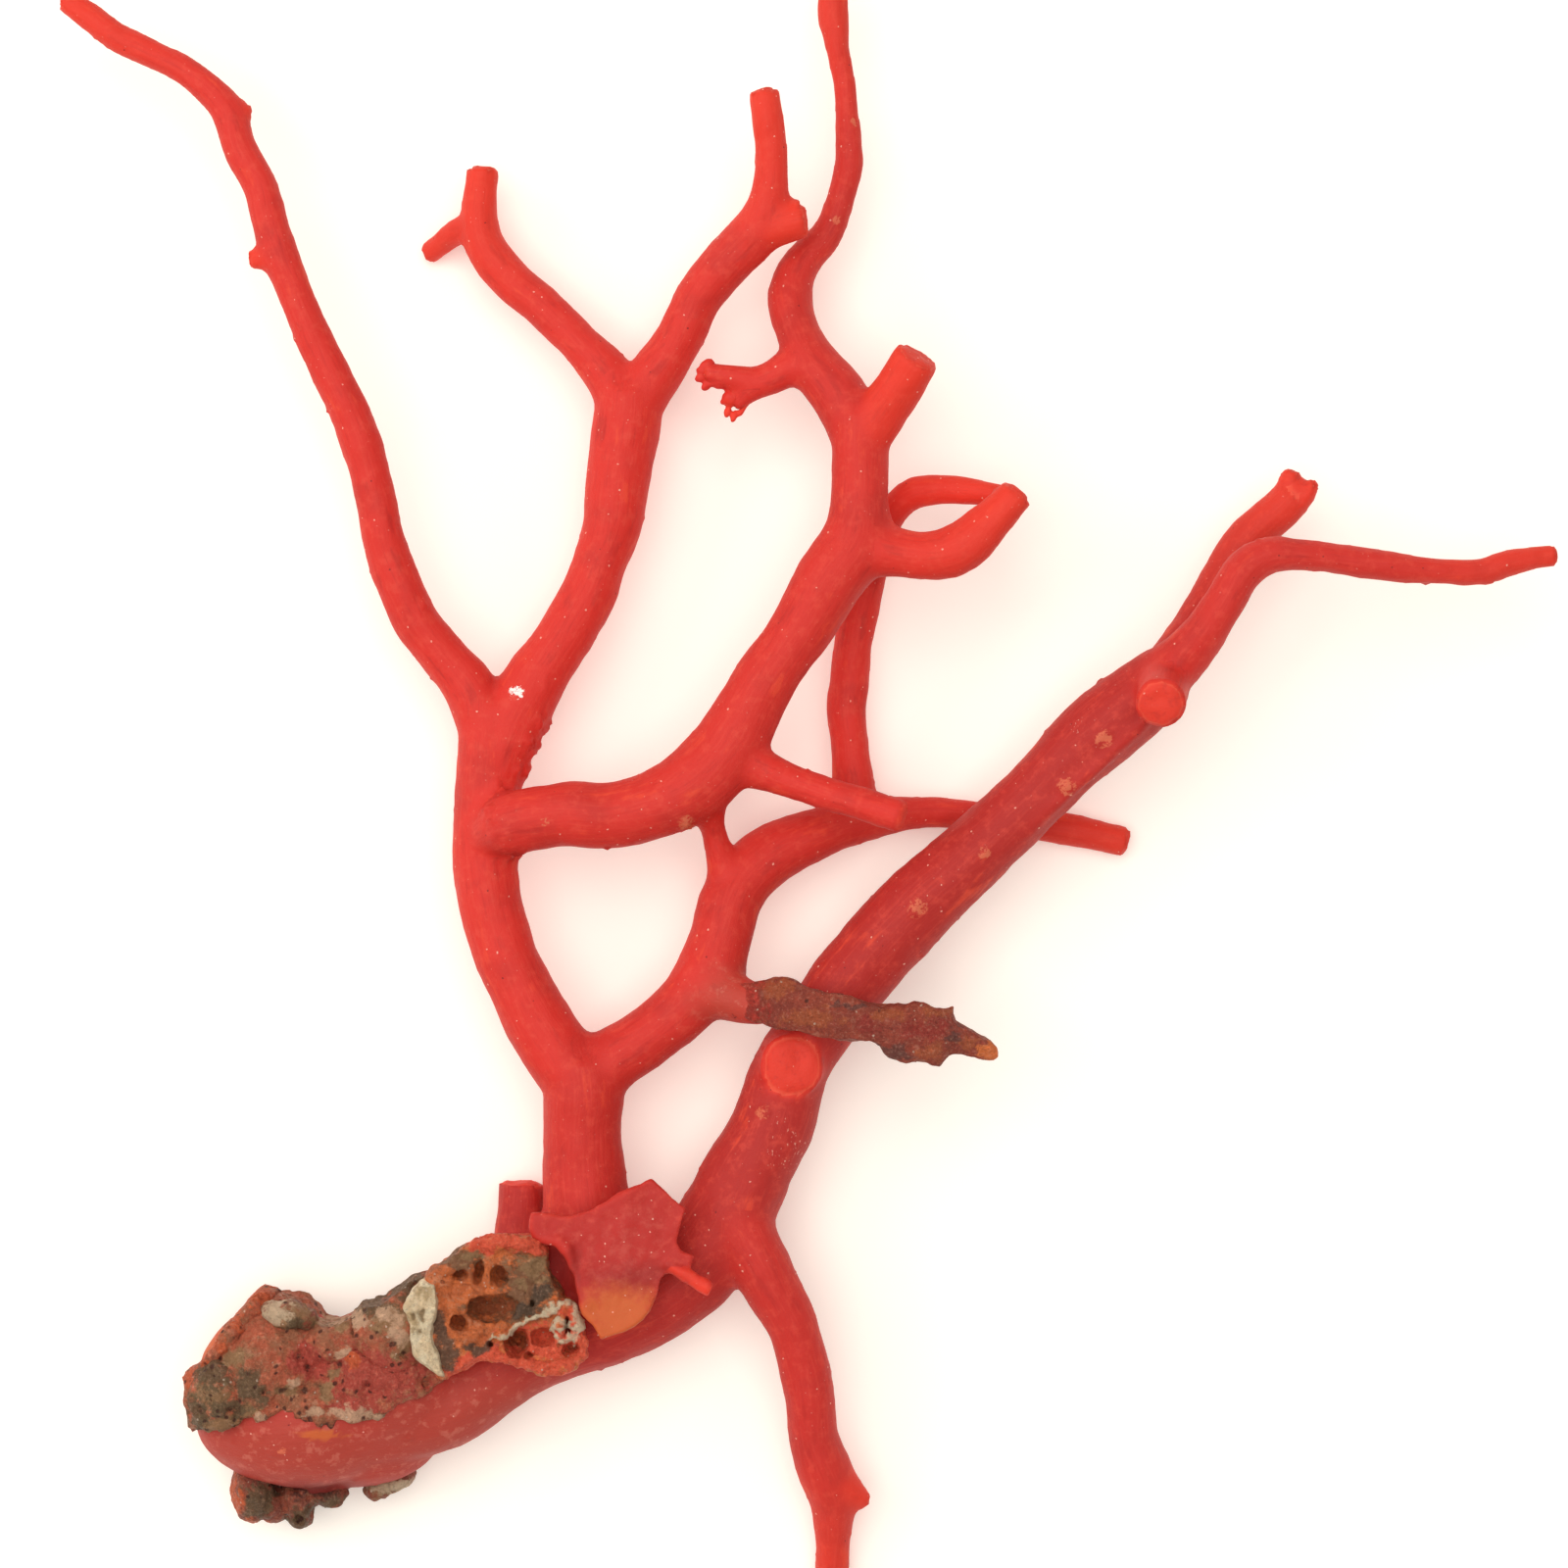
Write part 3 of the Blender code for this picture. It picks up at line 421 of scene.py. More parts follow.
def mark_growth(mesh):
    """Marks where each corner lies on its own branch: across it, along it, and what part of it that is."""
    steps = []
    for name, route in ROUTES.items():
        rows = list(along(smooth_route(route, MARKING_STEP)))
        steps += [(name, *row, rows[-1]) for row in rows]
    tree = KDTree(len(steps))
    for index, step in enumerate(steps):
        tree.insert(step[1], index)
    tree.balance()

    names = list(ROUTES)
    corners, _ = read(mesh)
    growth = np.zeros((len(corners), 3))
    owner = np.zeros(len(corners))
    dark, young, cut, rim = (np.zeros(len(corners)) for _ in range(4))
    for index, corner in enumerate(corners):
        corner = Vector(corner)
        near = tree.find_n(corner, NEAR_STEPS)
        name, point, radius, turn, run, last = steps[min(near, key=lambda hit: hit[2] - steps[hit[1]][2])[1]]
        across = turn.inverted() @ (corner - point)
        growth[index] = (across.x / MM, across.y / MM, run + across.z / MM)
        owner[index] = names.index(name)
        # painted shade: this branch's share of the darker, shaded coral red
        dark[index] = SHADED_BRANCHES.get(name, 0.0)
        end, end_radius, end_turn, length = last
        if name not in UNBROKEN_ENDS:
            if name not in SHORT_TWIGS:
                young[index] = max(0.0, 1.0 - (length - run) / YOUNG_LENGTH)
            past = end_turn.inverted() @ (corner - end) / MM
            if past.z > -CUT_DEPTH:
                cut[index] = 1.0
                rim[index] = past.xy.length * MM / end_radius
    first, second = edge_ends(mesh)
    fork = np.zeros(len(corners))
    fork[first[owner[first] != owner[second]]] = 1.0
    fork[second[owner[first] != owner[second]]] = 1.0
    mark(mesh, "growth", growth)
    mark(mesh, "fork", np.minimum(1.0, 3.0 * spread(mesh, fork, MASK_SMOOTHING_STEPS)))
    mark(mesh, "dark", spread(mesh, dark, SHADE_SMOOTHING_STEPS))
    mark(mesh, "young", spread(mesh, young, MASK_SMOOTHING_STEPS))
    mark(mesh, "cut", cut)
    mark(mesh, "rim", rim)
    mark(mesh, "stain", spots(corners, STAINS))
    mark(mesh, "chalk", spots(corners, CHALKS))
    mark(mesh, "scratch", spots(corners, SCRATCHES))
    torn_places = wandering(corners)
    mark(mesh, "worn", patches(torn_places, WORN))
    mark(mesh, "hollow_shade", patches(torn_places, SHADED_HOLLOW_PLACE))
    mark(mesh, "ochre", patches(torn_places, ORANGE_EDGE))


def end_wear(mesh):
    """How far each corner of a broken end has worn down, in millimetres, most at its rim."""
    cut = np.empty(len(mesh.vertices), dtype=np.float32)
    rim = np.empty_like(cut)
    mesh.attributes["cut"].data.foreach_get("value", cut)
    mesh.attributes["rim"].data.foreach_get("value", rim)
    corners, _ = read(mesh)
    uneven = np.abs(lumpiness(corners, ((1.6, 1.0),), 80.0))
    return cut * (RIM_WEAR * np.clip((rim - 0.55) / 0.45, 0, 1) + END_WEAR * uneven)


def add(tree, kind, **given):
    """A new node. A name with a capital is a socket, given as a value or another node's socket."""
    made = tree.nodes.new(kind)
    for name, value in given.items():
        if name[0].islower():
            setattr(made, name, value)
            continue
        socket = made.inputs[name.replace("_", " ")]
        if isinstance(value, bpy.types.NodeSocket):
            tree.links.new(value, socket)
        else:
            socket.default_value = value
    return made


def reckon(tree, operation, first, second=0.0, third=0.0):
    """The socket of a Math node, held between 0 and 1."""
    made = tree.nodes.new("ShaderNodeMath")
    made.operation = operation
    made.use_clamp = True
    for socket, value in zip(made.inputs, (first, second, third)):
        if isinstance(value, bpy.types.NodeSocket):
            tree.links.new(value, socket)
        else:
            socket.default_value = value
    return made.outputs[0]


def in_millimetres(tree):
    """The piece's own coordinates, in millimetres."""
    coords = add(tree, "ShaderNodeTexCoord").outputs["Object"]
    return add(tree, "ShaderNodeVectorMath", operation="SCALE", Vector=coords, Scale=1 / MM).outputs[0]


def stretched(tree, vector, shares):
    """A vector with its three parts made smaller by their shares, which draws a pattern out along them."""
    made = add(tree, "ShaderNodeVectorMath", operation="MULTIPLY", Vector=vector)
    made.inputs[1].default_value = shares
    return made.outputs[0]


def one_over(tree, size):
    """A pattern's scale from its size, which reckon would hold at 1."""
    made = tree.nodes.new("ShaderNodeMath")
    made.operation = "DIVIDE"
    made.inputs[0].default_value = 1.0
    tree.links.new(size, made.inputs[1])
    return made.outputs[0]


def between(tree, value, low, high):
    """A value's place from low to high, as 0 to 1, eased at both ends."""
    return add(
        tree, "ShaderNodeMapRange", interpolation_type="SMOOTHSTEP",
        Value=value, From_Min=low, From_Max=high,
    ).outputs["Result"]


def blend(tree, factor, first, second):
    """One colour laid over another."""
    made = tree.nodes.new("ShaderNodeMix")
    made.data_type = "RGBA"
    for socket, value in zip((made.inputs[0], made.inputs[6], made.inputs[7]), (factor, first, second)):
        if isinstance(value, bpy.types.NodeSocket):
            tree.links.new(value, socket)
        elif isinstance(value, tuple):
            socket.default_value = (*value, 1.0)
        else:
            socket.default_value = value
    return made.outputs[2]


def lay_over(tree, colour, mask, share, over):
    """A colour with another laid over it where a mask says so, by a share of the mask."""
    return blend(tree, reckon(tree, "MULTIPLY", mask, share), colour, over)


def cloud(tree, vector, size, detail=3.0, roughness=0.55):
    """Soft uneven patches of a size in millimetres of the vector's own unit, as a value round a half."""
    return add(
        tree, "ShaderNodeTexNoise", Vector=vector, Scale=1.0 / size, Detail=detail, Roughness=roughness,
    ).outputs["Fac"]


def effect(name, wanted, given):
    """A new shader node group with its sockets: wanted are the outputs' names, given the inputs' values."""
    group = bpy.data.node_groups.new(name, "ShaderNodeTree")
    for socket_name in wanted:
        group.interface.new_socket(socket_name, in_out="OUTPUT", socket_type="NodeSocketFloat")
    for socket_name, value in given.items():
        socket = group.interface.new_socket(socket_name, in_out="INPUT", socket_type="NodeSocketFloat")
        socket.default_value = value
    return group


def placed_effect(tree, group, **given):
    """A shared effect in a material, with its own values."""
    return add(tree, "ShaderNodeGroup", node_tree=group, **given)


def dust_effect():
    """Fine pale specks of dust and broken skin, and rarer dark pinholes, at places scattered at random."""
    tree = effect(
        "dust and pinholes",
        ("Specks", "Pinholes", "Chips", "Grain"),
        {"Cell": 1.1, "Speck": 0.10, "Share": 0.35},
    )
    given = tree.nodes.new("NodeGroupInput").outputs
    wanted = tree.nodes.new("NodeGroupOutput").inputs
    millimetres = in_millimetres(tree)
    bent = add(tree, "ShaderNodeTexNoise", Vector=millimetres, Scale=2.5, Detail=2.0).outputs["Color"]
    bend = add(tree, "ShaderNodeVectorMath", operation="SCALE", Vector=bent, Scale=0.25).outputs[0]
    uneven = add(tree, "ShaderNodeVectorMath", operation="ADD").inputs
    tree.links.new(millimetres, uneven[0])
    tree.links.new(bend, uneven[1])
    moved = uneven[0].node.outputs[0]
    cells = add(tree, "ShaderNodeTexVoronoi", Vector=moved, Scale=one_over(tree, given["Cell"]))
    chance = add(tree, "ShaderNodeSeparateColor", Color=cells.outputs["Color"])
    reach = reckon(tree, "DIVIDE", given["Speck"], given["Cell"])
    near = reckon(tree, "LESS_THAN", cells.outputs["Distance"], reach)
    some = reckon(tree, "LESS_THAN", chance.outputs["Red"], given["Share"])
    few = reckon(tree, "GREATER_THAN", chance.outputs["Green"], 0.90)
    pale = reckon(tree, "MULTIPLY", near, reckon(tree, "MULTIPLY", some, reckon(tree, "SUBTRACT", 1.0, few)))
    tree.links.new(pale, wanted["Specks"])
    tree.links.new(reckon(tree, "MULTIPLY", near, few), wanted["Pinholes"])
    chips = cloud(tree, stretched(tree, moved, (1.0, 0.35, 1.0)), 0.17, 2.0, 0.5)
    tree.links.new(between(tree, chips, 0.63, 0.69), wanted["Chips"])
    tree.links.new(cloud(tree, millimetres, 0.16, 4.0, 0.7), wanted["Grain"])
    return tree


def blank_finish(name):
    """A new material with its node tree and its shader."""
    material = bpy.data.materials.new(name)
    material.use_nodes = True
    return material, material.node_tree, material.node_tree.nodes["Principled BSDF"]


# LIT_CORAL and DARK_CORAL are lit and shaded copies of the coral red: DARK_CORAL is painted shade where the
# dark mark says so, and random darker mottling elsewhere.
LIT_CORAL = (0.66, 0.030, 0.020)
DARK_CORAL = (0.44, 0.022, 0.017)
STREAK_CORAL = (0.74, 0.080, 0.050)
FURROW_CORAL = (0.40, 0.016, 0.013)
FRESH_CORAL = (0.80, 0.075, 0.030)
YOUNG_CORAL = (0.84, 0.050, 0.020)
CUT_CORAL = (0.72, 0.042, 0.022)
CUT_RIM = (0.80, 0.10, 0.055)
SPECK_WHITE = (0.84, 0.42, 0.33)
WORN_CORAL = (0.42, 0.058, 0.037)
HOLLOW_SHADE_RED = (0.17, 0.018, 0.015)
SCUFF_PINK = (0.60, 0.17, 0.12)
HAZE_PINK = (0.44, 0.085, 0.070)
OCHRE_EDGE = (0.58, 0.120, 0.028)
PINHOLE_RED = (0.16, 0.012, 0.012)
OCHRE_STAIN = (0.68, 0.155, 0.078)
CHALK_WHITE = (0.92, 0.84, 0.80)


def coral_finish():
    """Satin red coral: long growth lines, soft mottling, paler young tips and cut ends, dust and stains, with
    painted shade on the shaded branches and in the recess under the lip.
    """
    material, tree, shader = blank_finish("satin red coral")
    millimetres = in_millimetres(tree)

    def marked(name, socket="Fac"):
        return add(tree, "ShaderNodeAttribute", attribute_name=name).outputs[socket]

    growth = marked("growth", "Vector")
    lines = cloud(tree, stretched(tree, growth, (1.0, 1.0, 0.07)), 0.26, 3.0, 0.6)
    off_fork = reckon(tree, "SUBTRACT", 1.0, marked("fork"))
    dust = placed_effect(tree, DUST, Cell=0.95, Speck=0.080, Share=0.40).outputs
    thick_dust = placed_effect(tree, DUST, Cell=0.55, Speck=0.062, Share=0.34).outputs
    shaded = cloud(tree, millimetres, 5.5, 3.0)
    bruises = cloud(tree, stretched(tree, growth, (1.0, 1.0, 0.3)), 1.5, 4.0, 0.6)
    mottle = cloud(tree, millimetres, 1.0, 5.0, 0.65)

    # painted shade: the shaded copy of the red on the shaded branches; on the web the same mark gives its
    # darker tone
    colour = blend(tree, marked("dark"), LIT_CORAL, DARK_CORAL)
    colour = lay_over(tree, colour, between(tree, shaded, 0.50, 0.72), 0.45, DARK_CORAL)
    colour = lay_over(tree, colour, between(tree, mottle, 0.48, 0.70), 0.36, STREAK_CORAL)
    streak_share = reckon(tree, "MULTIPLY", off_fork, 0.20)
    colour = lay_over(tree, colour, between(tree, lines, 0.50, 0.70), streak_share, STREAK_CORAL)
    furrow_share = reckon(tree, "MULTIPLY", off_fork, 0.26)
    colour = lay_over(tree, colour, between(tree, lines, 0.44, 0.28), furrow_share, FURROW_CORAL)
    colour = lay_over(tree, colour, between(tree, bruises, 0.58, 0.72), 0.45, FURROW_CORAL)
    colour = lay_over(tree, colour, between(tree, bruises, 0.40, 0.28), 0.50, FRESH_CORAL)
    colour = lay_over(tree, colour, marked("young"), 0.55, YOUNG_CORAL)
    colour = blend(tree, marked("cut"), colour, CUT_CORAL)
    on_rim = reckon(tree, "MULTIPLY", between(tree, marked("rim"), 0.78, 0.95), marked("cut"))
    colour = lay_over(tree, colour, on_rim, 0.7, CUT_RIM)
    uneven_cut = reckon(tree, "MULTIPLY", marked("cut"), between(tree, mottle, 0.50, 0.68))
    colour = lay_over(tree, colour, uneven_cut, 0.35, DARK_CORAL)
    colour = lay_over(tree, colour, marked("worn"), 0.75, WORN_CORAL)
    # painted shade: deep red in the recess under the lip and across the web's neck
    colour = lay_over(tree, colour, marked("hollow_shade"), 0.85, HOLLOW_SHADE_RED)
    scuffed = reckon(tree, "MULTIPLY", marked("worn"), between(tree, mottle, 0.52, 0.66))
    colour = lay_over(tree, colour, scuffed, 0.45, SCUFF_PINK)
    haze = reckon(tree, "MULTIPLY", marked("haze"), between(tree, mottle, 0.40, 0.70))
    colour = lay_over(tree, colour, haze, 0.35, HAZE_PINK)
    ochre = reckon(tree, "MULTIPLY", marked("ochre"), reckon(tree, "ADD", mottle, 0.4))
    colour = lay_over(tree, colour, between(tree, ochre, 0.20, 0.85), 0.85, OCHRE_EDGE)
    torn = between(tree, cloud(tree, millimetres, 0.55, 6.0, 0.75), 0.36, 0.64)
    stain = reckon(tree, "MULTIPLY", marked("stain"), torn)
    colour = lay_over(tree, colour, between(tree, stain, 0.16, 0.34), 0.8, OCHRE_STAIN)
    chalk = reckon(tree, "MULTIPLY", marked("chalk"), torn)
    colour = blend(tree, between(tree, chalk, 0.22, 0.27), colour, CHALK_WHITE)
    scratch = reckon(tree, "MULTIPLY", marked("scratch"), dust["Chips"])
    colour = lay_over(tree, colour, between(tree, scratch, 0.20, 0.30), 0.65, SPECK_WHITE)
    colour = lay_over(tree, colour, dust["Specks"], 0.8, SPECK_WHITE)
    dusty = reckon(tree, "MULTIPLY", thick_dust["Specks"], reckon(tree, "ADD", marked("haze"), 0.30))
    colour = lay_over(tree, colour, dusty, 0.75, SPECK_WHITE)
    colour = lay_over(tree, colour, dust["Pinholes"], 0.8, PINHOLE_RED)
    tree.links.new(colour, shader.inputs["Base Color"])

    tree.links.new(add(
        tree, "ShaderNodeMapRange", Value=mottle, To_Min=0.48, To_Max=0.64,
    ).outputs["Result"], shader.inputs["Roughness"])
    relief = add(tree, "ShaderNodeBump", Height=lines, Distance=0.00006)
    tree.links.new(reckon(tree, "MULTIPLY", off_fork, 0.8), relief.inputs["Strength"])
    grain = add(
        tree, "ShaderNodeBump",
        Height=dust["Grain"], Distance=0.00006, Strength=0.7, Normal=relief.outputs[0],
    )
    tree.links.new(grain.outputs[0], shader.inputs["Normal"])
    shader.inputs["Specular IOR Level"].default_value = 0.26
    shader.inputs["Subsurface Weight"].default_value = 0.12
    shader.inputs["Subsurface Radius"].default_value = (1.0, 0.22, 0.12)
    shader.inputs["Subsurface Scale"].default_value = 0.0008
    return material


DUST = dust_effect()

skin_shape = bmesh.new()
for branch_route in ROUTES.values():
    grow(skin_shape, branch_route)
for lump in FOOT_LUMPS:
    swell(skin_shape, *lump)
skin = as_piece("coral_skin", skin_shape)
fuse(skin, SKIN_VOXEL, FORK_SMOOTHING_STEPS)
skin_corners, _ = read(skin.data)
mark_growth(skin.data)
grains = np.clip(lumpiness(skin_corners, ((GRAIN_SIZE, 1.0),), 30.0) - LEAST_GRAIN, 0, 1)
worn_ends = end_wear(skin.data)
scars = spots(skin_corners, SCARS) * np.abs(lumpiness(skin_corners, SCAR_LUMPS, 50.0))
skin_relief = lumpiness(skin_corners, SWELLING) + GRAIN_HEIGHT * grains
raise_by(skin.data, skin_relief + SCAR_HEIGHT * scars - worn_ends)
lay_on_table(skin.data)
CORAL_FINISH = coral_finish()
skin.data.materials.append(CORAL_FINISH)
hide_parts(*(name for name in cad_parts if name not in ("crusted_twig", "broken_web")))


# The crust on the foot. Where the coral held to the rock its skeleton is roughened and overgrown by a
# thin hard crust of lime, full of pits, in red-brown, tan and slate patches, over a smooth red lip.

FOOT_OUTLINE = (
    (-45.5, -44.0), (-43.5, -44.2), (-41.6, -44.7), (-40.2, -46.5), (-38.9, -46.8), (-37.4, -46.1),
    (-36.4, -45.0), (-34.6, -44.7), (-33.4, -43.8), (-31.9, -42.8), (-30.0, -41.8), (-10.0, -30.0),
    (-10.0, -62.0), (-30.5, -59.2), (-31.9, -59.7), (-33.0, -60.7), (-35.4, -61.9), (-37.0, -61.4),
    (-39.0, -60.5), (-42.0, -60.3), (-45.0, -60.7), (-47.8, -60.3), (-49.1, -60.0), (-50.2, -58.9),
    (-51.0, -57.2), (-51.3, -55.0), (-51.4, -53.0), (-51.7, -51.2), (-50.0, -49.9), (-48.5, -47.2),
    (-47.4, -46.0),
)
CRUST_OUTLINE = (
    (-54.0, -56.2), (-50.6, -56.0), (-48.6, -56.0), (-47.0, -55.2), (-45.0, -55.0), (-43.4, -54.6),
    (-41.6, -55.3), (-40.0, -55.9), (-38.3, -55.3), (-36.6, -55.2), (-34.6, -54.9), (-33.0, -53.9),
    (-31.0, -52.6), (-29.6, -51.6), (-28.0, -50.6), (-24.0, -46.0), (-24.0, -38.0), (-54.0, -38.0),
)
CRUST_LUMPS = (
    ((-48.3, -48.2, 6.6), (5.6, 0.75, 5.0), 50.0), ((-46.2, -49.6, 7.4), (4.8, 2.6, 4.2), 46.0),
    ((-48.6, -52.6, 8.4), (3.2, 3.6, 4.6), 0.0), ((-38.0, -48.2, 7.6), (6.6, 2.6, 4.4), 16.0),
    ((-33.0, -46.2, 7.6), (5.0, 2.6, 4.8), 30.0), ((-33.6, -47.2, 9.4), (3.4, 4.4, 3.8), 0.0),
)
VIEW_LEVEL = 7.0
EYE_HEIGHT = 378.0
CRUST_VOXEL = 0.22
CRUST_SWELLING = ((3.2, 0.45), (0.6, 0.12))
CRUST_CRAGS = ((2.2, 0.30), (1.0, 0.22))
CRUST_RISE = 0.55
CRUST_LEAST = 0.12
CRUST_UNDER_SKIN = -0.9
CRUST_LEVEL = 12.0
FOOT_EDGE_LEVEL = 8.0
CRUST_EDGE_LUMPS = ((2.0, 0.4), (0.6, 0.3))
PIT_DEPTH = 0.8
SIDE_RELIEF_SHARE = 0.7
OVERHANG_KEPT = 0.03
PITS = (
    (-42.1, -49.7, 0.45), (-41.4, -50.6, 0.35), (-37.2, -47.8, 0.30), (-38.5, -50.4, 0.35),
    (-36.0, -52.0, 0.35), (-43.4, -52.5, 0.55), (-41.6, -52.6, 0.50), (-50.3, -54.1, 0.45),
    (-48.0, -54.2, 0.50), (-31.2, -51.9, 0.40), (-33.8, -48.4, 0.45), (-33.0, -49.2, 0.35),
    (-38.6, -55.4, 0.55), (-39.7, -55.5, 0.45), (-41.0, -55.0, 0.45),
)
TAN_PATCHES = (
    (-49.4, -53.0, 1.4, 1.3), (-47.7, -49.9, 1.4, 0.8), (-48.3, -55.3, 2.6, 0.8), (-46.2, -54.2, 1.0, 0.6),
    (-39.1, -51.2, 0.6, 0.4), (-39.6, -52.8, 0.9, 0.6), (-43.0, -52.7, 1.2, 0.6), (-34.0, -46.5, 1.7, 1.1),
    (-38.8, -47.4, 1.4, 0.5), (-33.2, -48.6, 0.7, 1.0),
)
SLATE_PATCHES = (
    (-46.1, -52.2, 1.3, 1.5), (-49.6, -51.2, 1.6, 1.2), (-50.6, -54.6, 0.9, 1.6), (-48.0, -54.0, 1.6, 0.7),
    (-36.0, -45.6, 2.4, 0.9), (-33.5, -43.9, 2.6, 0.9), (-35.2, -54.6, 1.0, 0.5),
)
RED_PATCHES = ((-35.2, -51.2, 4.2, 2.6), (-41.0, -50.3, 2.0, 1.6), (-37.5, -54.0, 2.4, 0.8))
# Painted shade: where the cleft at the crust's lower edge is darkened.
SHADED_CLEFT_PLACE = ((-40.8, -55.0, 4.6, 1.6),)
ORANGE_PATCHES = (
    (-46.4, -44.9, 1.0, 0.8), (-47.9, -46.6, 0.7, 0.8), (-49.3, -48.3, 0.7, 0.8), (-50.7, -50.1, 0.7, 0.8),
    (-51.6, -51.6, 0.7, 1.0), (-37.2, -50.2, 0.6, 0.6),
)
PALE_PATCHES = (
    (-40.6, -54.6, 0.9, 0.5), (-37.6, -54.4, 1.9, 0.5), (-35.2, -54.5, 0.6, 0.3), (-34.6, -46.0, 0.7, 0.5),
    (-39.4, -46.9, 1.6, 0.5), (-36.6, -46.6, 0.9, 0.6), (-42.6, -52.0, 0.6, 0.4), (-33.4, -47.4, 0.6, 1.2),
    (-38.2, -49.2, 0.7, 0.3), (-45.6, -55.0, 1.0, 0.3),
)


def drawn_in(outline, height):
    """An outline as seen from above, which looks larger the higher it lies, at its true size."""
    nearer = 1 - (height - VIEW_LEVEL) / EYE_HEIGHT
    return tuple((x * nearer, y * nearer, *more) for x, y, *more in outline)


def inside(corners, outline):
    """How deep each corner lies inside an outline seen from above, and the outline's nearest point, in mm."""
    places = corners[:, :2] / MM + np.array(BOX_MIDDLE)
    starts = np.array([point[:2] for point in outline])
    depth = np.full(len(places), 1000.0)
    nearest = places.copy()
    within = np.zeros(len(places), dtype=bool)
    for start, end in zip(starts, np.roll(starts, -1, axis=0)):
        edge = end - start
        share = np.clip((places - start) @ edge / (edge @ edge), 0, 1)
        at = start + share[:, None] * edge
        away = np.linalg.norm(places - at, axis=1)
        closer = away < depth
        depth[closer] = away[closer]
        nearest[closer] = at[closer]
        spans = (start[1] > places[:, 1]) != (end[1] > places[:, 1])
        crossing = start[0] + (places[:, 1] - start[1]) / (edge[1] or 1e-9) * edge[0]
        within ^= spans & (places[:, 0] < crossing)
    return np.where(within, depth, -depth), nearest


def hold_inside(mesh, outline):
    """Moves each corner that hangs out over an outline, seen from above, straight in, nearly to it."""
    corners, _ = read(mesh)
    depth, nearest = inside(corners, outline)
    out = depth < 0
    held = (nearest[out] - np.array(BOX_MIDDLE)) * MM
    corners[out, :2] = held + OVERHANG_KEPT * (corners[out, :2] - held)
    mesh.vertices.foreach_set("co", corners.ravel())
    mesh.update()


def crags(corners, layers, shift=0.0):
    """Sharp-crested heights at each corner, in millimetres, from layers of (size of a crag, height)."""
    heights = []
    for corner in corners:
        place = Vector(corner) / MM + Vector((shift, 0, 0))
        heights.append(sum(high * (0.5 - 2 * abs(noise.noise(place / size))) for size, high in layers))
    return np.array(heights)


# Painted shade and highlight: a deep brown for the shade in pits, pores, clefts, low places and the hollows
# of the grain, and a pink highlight for the grain's crests.
DEEP_SHADE_BROWN = (0.075, 0.019, 0.011)
CREST_HIGHLIGHT_PINK = (0.80, 0.45, 0.30)
CRUST_DUST = (0.80, 0.62, 0.48)
CRUST_COLOURS = {
    "brown": (0.20, 0.090, 0.045),
    "red": (0.54, 0.070, 0.048),
    "tan": (0.36, 0.200, 0.090),
    "slate": (0.150, 0.096, 0.046),
    "orange": (0.70, 0.120, 0.036),
    "pale": (0.72, 0.43, 0.27),
    "cream": (0.84, 0.68, 0.46),
    "deep": DEEP_SHADE_BROWN,
}


def sponge_effect():
    """Round open pores of mixed size, crowded in some places and missing in others, and torn patch edges."""
    tree = effect("pores of a bored crust", ("Pores", "Torn", "Fine"), {"Pore": 0.5, "Share": 0.5})
    given = tree.nodes.new("NodeGroupInput").outputs
    wanted = tree.nodes.new("NodeGroupOutput").inputs
    millimetres = in_millimetres(tree)
    cells = add(tree, "ShaderNodeTexVoronoi", Vector=millimetres, Scale=one_over(tree, given["Pore"]))
    chance = add(tree, "ShaderNodeSeparateColor", Color=cells.outputs["Color"]).outputs["Red"]
    crowded = between(tree, cloud(tree, millimetres, 2.6, 2.0), 0.40, 0.62)
    open_here = reckon(tree, "LESS_THAN", chance, reckon(tree, "MULTIPLY", given["Share"], crowded))
    round_hole = between(tree, cells.outputs["Distance"], 0.42, 0.20)
    tree.links.new(reckon(tree, "MULTIPLY", round_hole, open_here), wanted["Pores"])
    tree.links.new(between(tree, cloud(tree, millimetres, 0.8, 6.0, 0.75), 0.34, 0.66), wanted["Torn"])
    tree.links.new(between(tree, cloud(tree, millimetres, 0.30, 5.0, 0.75), 0.32, 0.68), wanted["Fine"])
    return tree


